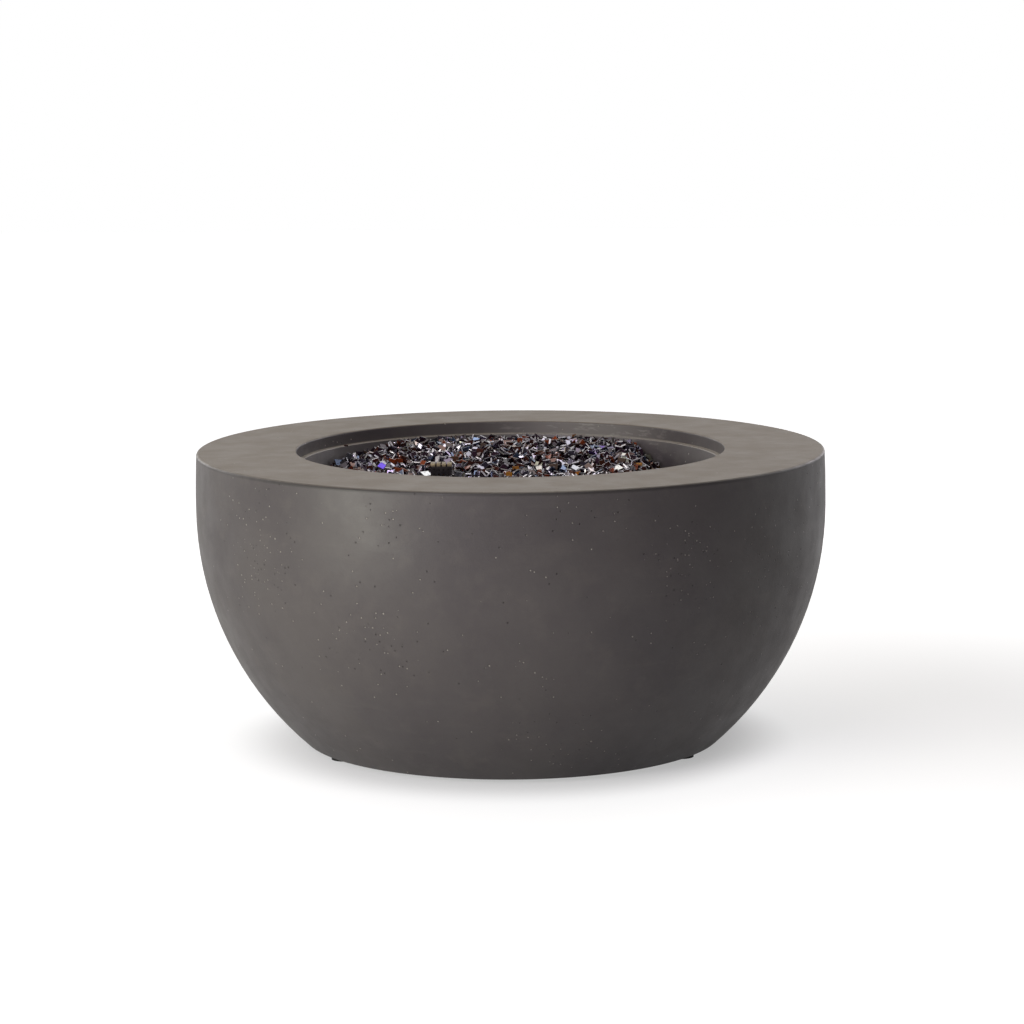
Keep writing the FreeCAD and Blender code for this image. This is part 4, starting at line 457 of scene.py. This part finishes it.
def dress_nodes():
    """Gives every node of the frame the material of its slot."""
    sheet = metal("stainless_sheet", srgb(150, 149, 146), srgb(200, 199, 195), 0.3, (1, 40, 40))
    made = {
        "concrete": concrete(),
        "lava_rock": lava_rock(),
        "fire_glass": fire_glass(),
        "foot_rubber": plastic("foot_rubber", srgb(26, 26, 27), srgb(38, 38, 39), 0.75),
        "stainless_sheet": sheet,
        "burner_steel": metal("burner_steel", srgb(120, 104, 84), srgb(176, 166, 150), 0.34),
        "hood_steel": hood_steel(),
        "fastener_steel": metal("fastener_steel", srgb(140, 142, 144), srgb(190, 192, 194), 0.33),
        "spring_steel": metal("spring_steel", srgb(110, 112, 116), srgb(168, 170, 174), 0.28),
        "brass": metal("brass", srgb(150, 112, 52), srgb(206, 166, 92), 0.3, (1, 1, 8)),
        "valve_alloy": metal("valve_alloy", srgb(130, 131, 133), srgb(172, 173, 175), 0.45, (1, 1, 1), 240.0),
        "tube_aluminium": metal("tube_aluminium", srgb(168, 169, 171), srgb(204, 205, 207), 0.26),
        "copper_lead": metal("copper_lead", srgb(150, 84, 58), srgb(206, 130, 94), 0.3),
        "knob_plastic": plastic("knob_plastic", srgb(26, 26, 28), srgb(40, 40, 42), 0.42),
        "pointer_white": plastic("pointer_white", srgb(214, 212, 206), srgb(236, 235, 230), 0.35),
        "igniter_plastic": plastic("igniter_plastic", srgb(30, 30, 32), srgb(46, 46, 48), 0.5),
        "button_chrome": metal("button_chrome", srgb(206, 207, 209), srgb(228, 229, 231), 0.09),
        "battery_jacket": plastic("battery_jacket", srgb(58, 58, 62), srgb(88, 88, 92), 0.3),
        "ceramic_white": plastic("ceramic_white", srgb(214, 209, 198), srgb(236, 232, 222), 0.22),
        "hose_rubber": plastic("hose_rubber", srgb(30, 30, 30), srgb(46, 46, 46), 0.6),
        "hose_braid": braided(),
        "lead_silicone": plastic("lead_silicone", srgb(140, 42, 30), srgb(176, 60, 44), 0.5),
        "galvanised": galvanised(),
    }
    for name, node in frame["nodes"].items():
        for holder in node.material_slots:
            holder.material = made[RECORD_SLOT[name]]
    return made


def fall(place, slope):
    """Smooth fall of the heap along one axis: 0 before its slope starts, and its share past its end."""
    share, start, end = slope
    way = np.clip((place / SEAT_R - start) / (end - start), 0.0, 1.0)
    return share * way * way * (3 - 2 * way)


def glass_surface(x, y):
    """Mean height of the heap: high along the far wall, lower in front and left, steep at the right."""
    kept = (1 - fall(y, GLASS_FRONT)) * (1 - fall(x, GLASS_LEFT)) * (1 - fall(x, GLASS_RIGHT))
    turn = math.pi / GLASS_LUMP_PITCH
    lump = GLASS_LUMP * np.sin(turn * x + GLASS_LUMP_SHIFT[0]) * np.cos(turn * y + GLASS_LUMP_SHIFT[1])
    return RIM_Z - GLASS_LOW_DEPTH + (GLASS_LOW_DEPTH - GLASS_HIGH_DEPTH) * kept + lump


def well_radius(z):
    """Radius of the leaning wall of the well at height z."""
    return SEAT_R - (RIM_Z - SEAT_DEPTH - z) * WELL_LEAN


def tile_palette(rng, count):
    """Colour and mirror share of each piece: mirrored, smoky, dark plum and brown glass, and odd colours."""
    kinds = [
        (0.085, srgb(198, 194, 210), 1.0),
        (0.130, srgb(122, 112, 136), 0.8),
        (0.420, srgb(66, 42, 60), 0.25),
        (0.190, srgb(98, 54, 46), 0.3),
        (0.065, srgb(104, 122, 160), 0.8),
        (0.045, srgb(186, 88, 46), 0.3),
        (0.040, srgb(136, 114, 102), 0.5),
        (0.016, srgb(164, 164, 146), 0.3),
        (0.006, srgb(104, 72, 170), 0.5),
        (0.006, srgb(214, 148, 62), 0.2),
    ]
    weights = np.array([kind[0] for kind in kinds])
    picks = rng.choice(len(kinds), size=count, p=weights / weights.sum())
    colours = np.array([kind[1][:3] for kind in kinds])[picks]
    colours = colours * rng.uniform(0.45, 1.1, (count, 1))
    mirrors = np.array([kind[2] for kind in kinds])[picks]
    return np.clip(colours, 0.004, 0.95), mirrors


def tile_rotation(yaw, tilt, tilt_way):
    """Columns are the piece's own axes: turned by yaw, then tipped so that it faces tilt_way."""
    slant = math.sin(tilt)
    normal = np.array([slant * math.cos(tilt_way), slant * math.sin(tilt_way), math.cos(tilt)])
    along = np.array([math.cos(yaw), math.sin(yaw), 0.0])
    along = along - normal * along.dot(normal)
    along /= np.linalg.norm(along)
    return np.column_stack([along, np.cross(normal, along), normal])


def draw_tile(rng, reach):
    """Place, tilt, axes, size and thickness of one piece, at random over the well."""
    turn = rng.uniform(0, 2 * math.pi)
    distance = reach * math.sqrt(rng.uniform())
    size = np.clip(rng.normal(TILE_SIZE, TILE_SIZE_SPREAD, 2), *TILE_SIZE_RANGE)
    thickness = TILE_THICKNESS * rng.uniform(*TILE_THICKNESS_RANGE)
    yaw = rng.uniform(0, 2 * math.pi)
    if rng.uniform() < TILE_FLAT_SHARE:
        tilt = abs(rng.normal(0, math.radians(TILE_FLAT_TILT)))
    else:
        tilt = math.radians(rng.uniform(*TILE_TILT))
    axes = tile_rotation(yaw, tilt, rng.uniform(0, 2 * math.pi))
    return distance * math.cos(turn), distance * math.sin(turn), tilt, axes, size, thickness


def height_grid(reach):
    """Grid over the well: its places, the heights to start from, and the cells that stay free of glass."""
    lines = np.arange(-reach, reach + TILE_CELL, TILE_CELL)
    grid_x, grid_y = np.meshgrid(lines, lines, indexing="ij")
    surface = glass_surface(grid_x, grid_y)
    outside = np.hypot(grid_x, grid_y) > well_radius(surface) - TILE_WALL_GAP
    cover = (grid_x > COVER_LOW[0] - TILE_COVER_GAP) & (grid_x < COVER_HIGH[0] + TILE_COVER_GAP)
    cover &= (grid_y > COVER_LOW[1] - TILE_COVER_GAP) & (grid_y < COVER_HIGH[1] + TILE_COVER_GAP)
    return grid_x, grid_y, surface - TILE_BED_DEPTH, outside | cover


def grid_window(x, y, size, reach):
    """The part of the grid that a piece at x and y can cover."""
    half = size.max() * TILE_WINDOW
    low_i = max(int((x - half + reach) / TILE_CELL), 0)
    low_j = max(int((y - half + reach) / TILE_CELL), 0)
    span = int(2 * half / TILE_CELL) + 2
    return slice(low_i, low_i + span), slice(low_j, low_j + span)


def footprint(near_x, near_y, axes, size):
    """Height of a piece's plane at the cells near it, from its middle, and which of them it covers."""
    normal = axes[:, 2]
    plane = -(normal[0] * near_x + normal[1] * near_y) / normal[2]
    along = near_x * axes[0, 0] + near_y * axes[1, 0] + plane * axes[2, 0]
    across = near_x * axes[0, 1] + near_y * axes[1, 1] + plane * axes[2, 1]
    return plane, (abs(along) < size[0] / 2) & (abs(across) < size[1] / 2)


def settle_tiles():
    """Drops pieces one by one on a grid of heights, until the heap has its surface."""
    rng = np.random.default_rng(TILE_SEED)
    reach = well_radius(RIM_Z - SEAT_DEPTH)
    grid_x, grid_y, heights, blocked = height_grid(reach)
    placed = []
    for _ in range(TILE_COUNT * TILE_TRIES):
        if len(placed) == TILE_COUNT:
            break
        x, y, tilt, axes, size, thickness = draw_tile(rng, reach)
        window = grid_window(x, y, size, reach)
        plane, inside = footprint(grid_x[window] - x, grid_y[window] - y, axes, size)
        if inside.sum() < 2 or (blocked[window] & inside).any():
            continue
        near_z = heights[window]
        rest = np.percentile((near_z - plane)[inside], TILE_REST - TILE_STEEP_REST * math.sin(tilt))
        lift = abs(axes[2, 0]) * size[0] / 2 + abs(axes[2, 1]) * size[1] / 2
        centre_z = rest + thickness / 2
        if centre_z > glass_surface(x, y) + TILE_PROUD + TILE_STEEP_PROUD * lift:
            continue
        added = min(thickness / axes[2, 2], size.max() * TILE_HEIGHT)
        near_z[inside] = np.maximum(near_z, rest + plane * TILE_SLOPE + added)[inside]
        placed.append(((x, y, centre_z), axes, size, thickness))
    shown = [piece for piece in placed if piece[0][2] > glass_surface(*piece[0][:2]) - TILE_BURIED_DEPTH]
    return shown, rng


def pixel_ray(pixel):
    """Line of sight through a pixel of the photograph's frame."""
    camera = bpy.context.scene.camera
    turn = camera.matrix_world.to_3x3()
    half = camera.data.sensor_width / 2
    across = (pixel[0] / IMAGE_SIZE * 2 - 1) * half
    up = (1 - pixel[1] / IMAGE_SIZE * 2) * half
    way = (turn @ Vector((across, up, -camera.data.lens))).normalized()
    return np.array(camera.matrix_world.translation), np.array(way)


def place_on_heap(pixel):
    """Where the line of sight through a pixel meets the heap."""
    start, way = pixel_ray(pixel)
    distances = np.linspace(*SIGHT_RANGE, SIGHT_STEPS)
    points = start + distances[:, None] * way
    over = points[:, 2] - glass_surface(points[:, 0], points[:, 1]) - STANDOUT_LIFT
    return tuple(points[np.argmax(over < 0)])


def standout_tiles():
    """Pieces that stand out in the photograph, turned a little this way and that, and the stray one."""
    placed = []
    colours = []
    mirrors = []
    for index, (pixel, colour, mirror, size, tilt) in enumerate(STANDOUT_PIECES):
        spin = math.radians(37 * index % 90 - 45)
        axes = tile_rotation(spin, math.radians(tilt), -math.pi / 2 + 0.5 * math.sin(2.1 * index))
        placed.append((place_on_heap(pixel), axes, np.array([size, size * STANDOUT_SIDE]), TILE_THICKNESS))
        colours.append(srgb(*colour)[:3])
        mirrors.append(mirror)
    pixel, colour, size, side, mirror = STRAY_PIECE
    start, way = pixel_ray(pixel)
    place = start + way * ((RIM_Z - SEAT_DEPTH + TILE_THICKNESS / 2 - start[2]) / way[2])
    axes = tile_rotation(0.6, 0.05, 0.0)
    placed.append((tuple(place), axes, np.array([size, size * side]), TILE_THICKNESS))
    colours.append(srgb(*colour)[:3])
    mirrors.append(mirror)
    return placed, np.array(colours), np.array(mirrors)


def tile_points(placed, rng):
    """Points of each piece, in four rings of four corners from its top down."""
    count = len(placed)
    centres = np.array([item[0] for item in placed])
    axes = np.array([item[1] for item in placed])
    sizes = np.array([item[2] for item in placed])
    thickness = np.array([item[3] for item in placed])
    corners = np.array([(-1, -1), (1, -1), (1, 1), (-1, 1)], dtype=float)
    uneven = corners[None] * sizes[:, None, :] / 2 * rng.uniform(*TILE_UNEVEN, (count, 4, 2))
    inset = uneven - np.sign(corners)[None] * TILE_CHAMFER
    half = (thickness / 2)[:, None]
    edge = half - TILE_CHAMFER
    rings = []
    for flat, level in ((inset, half), (uneven, edge), (uneven, -edge), (inset, -half)):
        rings.append(np.dstack([flat, np.broadcast_to(level[:, :, None], (count, 4, 1))]))
    local = np.concatenate(rings, axis=1)
    return np.einsum("nij,nkj->nki", axes, local) + centres[:, None, :]


def tile_faces():
    """Faces of one piece: its two sides first, then the rim between each ring and the next."""
    faces = [(0, 1, 2, 3), (15, 14, 13, 12)]
    for ring in range(3):
        for k in range(4):
            a = ring * 4 + k
            b = ring * 4 + (k + 1) % 4
            faces.append((a, a + 4, b + 4, b))
    return np.array(faces)


def tile_mesh(placed, colours, mirrors, rng):
    """One mesh of all pieces, each an uneven four-sided plate with chamfered rims."""
    count = len(placed)
    points = tile_points(placed, rng)
    faces = tile_faces()
    every = (faces[None] + (np.arange(count) * points.shape[1])[:, None, None]).reshape(-1, 4)
    mesh = bpy.data.meshes.new("fire_glass")
    mesh.from_pydata(points.reshape(-1, 3).tolist(), [], every.tolist())
    # Bright rims: a painted reflection added to the rim's own colour
    bright = (rng.uniform(size=count) < BRIGHT_RIM_SHARE)[:, None]
    rims = np.where(bright, colours * BRIGHT_RIM_TONE + RIM_SHEEN, colours * RIM_TONE)
    layer = mesh.attributes.new("tint", "FLOAT_COLOR", "CORNER")
    values = np.zeros((count, len(faces), 4, 4), dtype=np.float32)
    values[:, :2, :, :3] = colours[:, None, None, :]
    values[:, 2:, :, :3] = rims[:, None, None, :]
    values[:, :2, :, 3] = mirrors[:, None, None]
    values[:, 2:, :, 3] = (mirrors * RIM_MIRROR)[:, None, None]
    layer.data.foreach_set("color", values.ravel())
    return mesh


def make_fire_glass(material):
    """The loose pieces and the bed under them, in place of the solid heap."""
    placed, rng = settle_tiles()
    print("fire glass pieces", len(placed))
    colours, mirrors = tile_palette(rng, len(placed))
    more, more_colours, more_mirrors = standout_tiles()
    middles = np.array([piece[0] for piece in placed])
    clear = np.ones(len(placed), dtype=bool)
    for piece in more:
        clear &= np.linalg.norm(middles - np.array(piece[0]), axis=1) > STANDOUT_CLEARANCE
    placed = [piece for piece, kept in zip(placed, clear) if kept]
    colours = np.vstack([colours[clear], more_colours])
    mirrors = np.concatenate([mirrors[clear], more_mirrors])
    glass = bpy.data.objects.new("fire_glass", tile_mesh(placed + more, colours, mirrors, rng))
    bpy.context.collection.objects.link(glass)
    glass.data.materials.append(material)
    bed = glass_bed(material)
    for piece in (glass, bed):
        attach(piece, "root")
        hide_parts("fire_glass_bed")


def bed_points(rng):
    """Rings of points over the bed's top, from its middle out to the wall, and one round its foot."""
    turns = 2 * math.pi * np.arange(BED_SECTORS) / BED_SECTORS
    outer = well_radius(RIM_Z - GLASS_LOW_DEPTH - TILE_BURIED_DEPTH) - BED_WALL_GAP
    points = []
    for ring in range(BED_RINGS + 1):
        x = outer * ring / BED_RINGS * np.cos(turns)
        y = outer * ring / BED_RINGS * np.sin(turns)
        rough = rng.uniform(-BED_ROUGHNESS, BED_ROUGHNESS, BED_SECTORS)
        z = glass_surface(x, y) - TILE_BURIED_DEPTH + rough
        points += list(zip(x, y, z))
    foot = well_radius(GLASS_FOOT) - BED_FOOT_GAP
    points += [(foot * math.cos(turn), foot * math.sin(turn), GLASS_FOOT) for turn in turns]
    return points


def glass_bed(material):
    """The settled glass under the loose pieces: a closed lumpy body up to just under their surface."""
    faces = []
    for ring in range(BED_RINGS + 1):
        for k in range(BED_SECTORS):
            nxt = (k + 1) % BED_SECTORS
            a = ring * BED_SECTORS
            b = a + BED_SECTORS
            faces.append((a + k, b + k, b + nxt, a + nxt))
    faces.append(tuple((BED_RINGS + 1) * BED_SECTORS + k for k in reversed(range(BED_SECTORS))))
    mesh = bpy.data.meshes.new("fire_glass_under")
    mesh.from_pydata(bed_points(np.random.default_rng(TILE_SEED + 1)), [], faces)
    layer = mesh.attributes.new("tint", "FLOAT_COLOR", "CORNER")
    layer.data.foreach_set("color", np.tile(np.array(BED_TINT, dtype=np.float32), len(mesh.loops)))
    bed = bpy.data.objects.new("fire_glass_under", mesh)
    bpy.context.collection.objects.link(bed)
    bed.data.materials.append(material)
    return bed


def make_camera():
    """The photograph's view of the bowl."""
    data = bpy.data.cameras.new("camera")
    data.lens = CAMERA_LENS
    data.sensor_width = 36.0
    data.clip_end = 100.0
    camera = bpy.data.objects.new("camera", data)
    pitch = math.radians(CAMERA_PITCH)
    roll = math.radians(CAMERA_ROLL)
    forward = Vector((0, math.cos(pitch), -math.sin(pitch)))
    right = Vector((1, 0, 0))
    up = right.cross(forward)
    rolled_right = right * math.cos(roll) + up * math.sin(roll)
    rolled_up = up * math.cos(roll) - right * math.sin(roll)
    turn = Matrix((rolled_right, rolled_up, -forward)).transposed()
    bpy.context.collection.objects.link(camera)
    camera.matrix_world = Matrix.Translation((CAMERA_SIDE, -CAMERA_DISTANCE, CAMERA_HEIGHT)) @ turn.to_4x4()
    bpy.context.scene.camera = camera


def lamp(name, azimuth, elevation, distance, size, power, colour):
    """Soft box seen from the bowl at an azimuth from the camera's side and an elevation, in degrees."""
    data = bpy.data.lights.new(name, "AREA")
    data.shape = "RECTANGLE"
    data.size = size[0]
    data.size_y = size[1]
    data.energy = power
    data.color = colour
    turn = math.radians(azimuth)
    rise = math.radians(elevation)
    way = Vector((math.sin(turn) * math.cos(rise), -math.cos(turn) * math.cos(rise), math.sin(rise)))
    holder = bpy.data.objects.new(name, data)
    holder.location = Vector(LAMP_AIM) + way * distance
    holder.rotation_euler = (-way).to_track_quat("-Z", "Y").to_euler()
    holder.visible_camera = False
    bpy.context.collection.objects.link(holder)


def make_floor():
    """Pale floor. It shows white to the camera and in reflections, less the bowl's shadow from the lamps and
    a painted shadow near the bowl and away from the key.
    """
    s = Shader("floor")
    corners = [(x * FLOOR_HALF, y * FLOOR_HALF, 0) for x, y in ((-1, -1), (1, -1), (1, 1), (-1, 1))]
    mesh = bpy.data.meshes.new("floor")
    mesh.from_pydata(corners, [], [(0, 1, 2, 3)])
    floor = bpy.data.objects.new("floor", mesh)
    bpy.context.collection.objects.link(floor)
    s.bsdf.inputs["Base Color"].default_value = (FLOOR_ALBEDO, FLOOR_ALBEDO, FLOOR_ALBEDO, 1)
    s.bsdf.inputs["Roughness"].default_value = 0.9
    glow = s.nodes.new("ShaderNodeEmission")
    glow.inputs["Color"].default_value = (1, 1, 1, 1)
    rays = s.nodes.new("ShaderNodeLightPath")
    mirrored = s.math("MAXIMUM", rays.outputs["Is Glossy Ray"], rays.outputs["Is Transmission Ray"])
    seen = s.math("MAXIMUM", rays.outputs["Is Camera Ray"], s.times(mirrored, FLOOR_MIRRORED))
    # Glow lowered near the bowl and away from the key: painted shadow
    level = s.math("ADD", s.band(s.radius(), *FLOOR_GLOW_AND_CONTACT_SHADOW), s.band(s.radius(), *FLOOR_FAR_GLOW))
    middle, reach, depth = FLOOR_SHADE
    level = s.math("SUBTRACT", level, s.band(s.distance(middle), 0.0, reach, depth, 0.0))
    s.put(glow.inputs["Strength"], s.times(seen, level))
    both = s.nodes.new("ShaderNodeAddShader")
    s.links.new(s.bsdf.outputs[0], both.inputs[0])
    s.links.new(glow.outputs[0], both.inputs[1])
    s.links.new(both.outputs[0], s.nodes["Material Output"].inputs["Surface"])
    mesh.materials.append(s.material)


def make_world():
    """White backdrop for the camera and, past the bowl, for reflections, with a faint ambient light."""
    world = bpy.data.worlds.new("world")
    bpy.context.scene.world = world
    world.use_nodes = True
    nodes = world.node_tree.nodes
    links = world.node_tree.links
    rays = nodes.new("ShaderNodeLightPath")
    place = nodes.new("ShaderNodeTexCoord")
    split = nodes.new("ShaderNodeSeparateXYZ")
    links.new(place.outputs["Generated"], split.inputs[0])
    behind = nodes.new("ShaderNodeMapRange")
    behind.interpolation_type = "SMOOTHSTEP"
    links.new(split.outputs[1], behind.inputs["Value"])
    for name, number in zip(("From Min", "From Max", "To Min", "To Max"), BACKDROP_SIDE):
        behind.inputs[name].default_value = number

    def math_node(operation, first, second):
        node = nodes.new("ShaderNodeMath")
        node.operation = operation
        links.new(first, node.inputs[0])
        links.new(second, node.inputs[1])
        return node.outputs[0]

    mirrored = math_node("MAXIMUM", rays.outputs["Is Glossy Ray"], rays.outputs["Is Transmission Ray"])
    mirrored = math_node("MULTIPLY", mirrored, behind.outputs["Result"])
    white = math_node("MAXIMUM", rays.outputs["Is Camera Ray"], mirrored)
    ambient = nodes["Background"]
    ambient.inputs["Color"].default_value = (1, 1, 1, 1)
    ambient.inputs["Strength"].default_value = AMBIENT
    backdrop = nodes.new("ShaderNodeBackground")
    backdrop.inputs["Color"].default_value = (1, 1, 1, 1)
    pick = nodes.new("ShaderNodeMixShader")
    links.new(white, pick.inputs[0])
    links.new(ambient.outputs[0], pick.inputs[1])
    links.new(backdrop.outputs[0], pick.inputs[2])
    links.new(pick.outputs[0], nodes["World Output"].inputs["Surface"])


make_camera()
materials = dress_nodes()
make_fire_glass(materials["fire_glass"])
make_floor()
make_world()
for settings in LAMPS:
    lamp(*settings)
bpy.context.scene.view_settings.view_transform = "Standard"
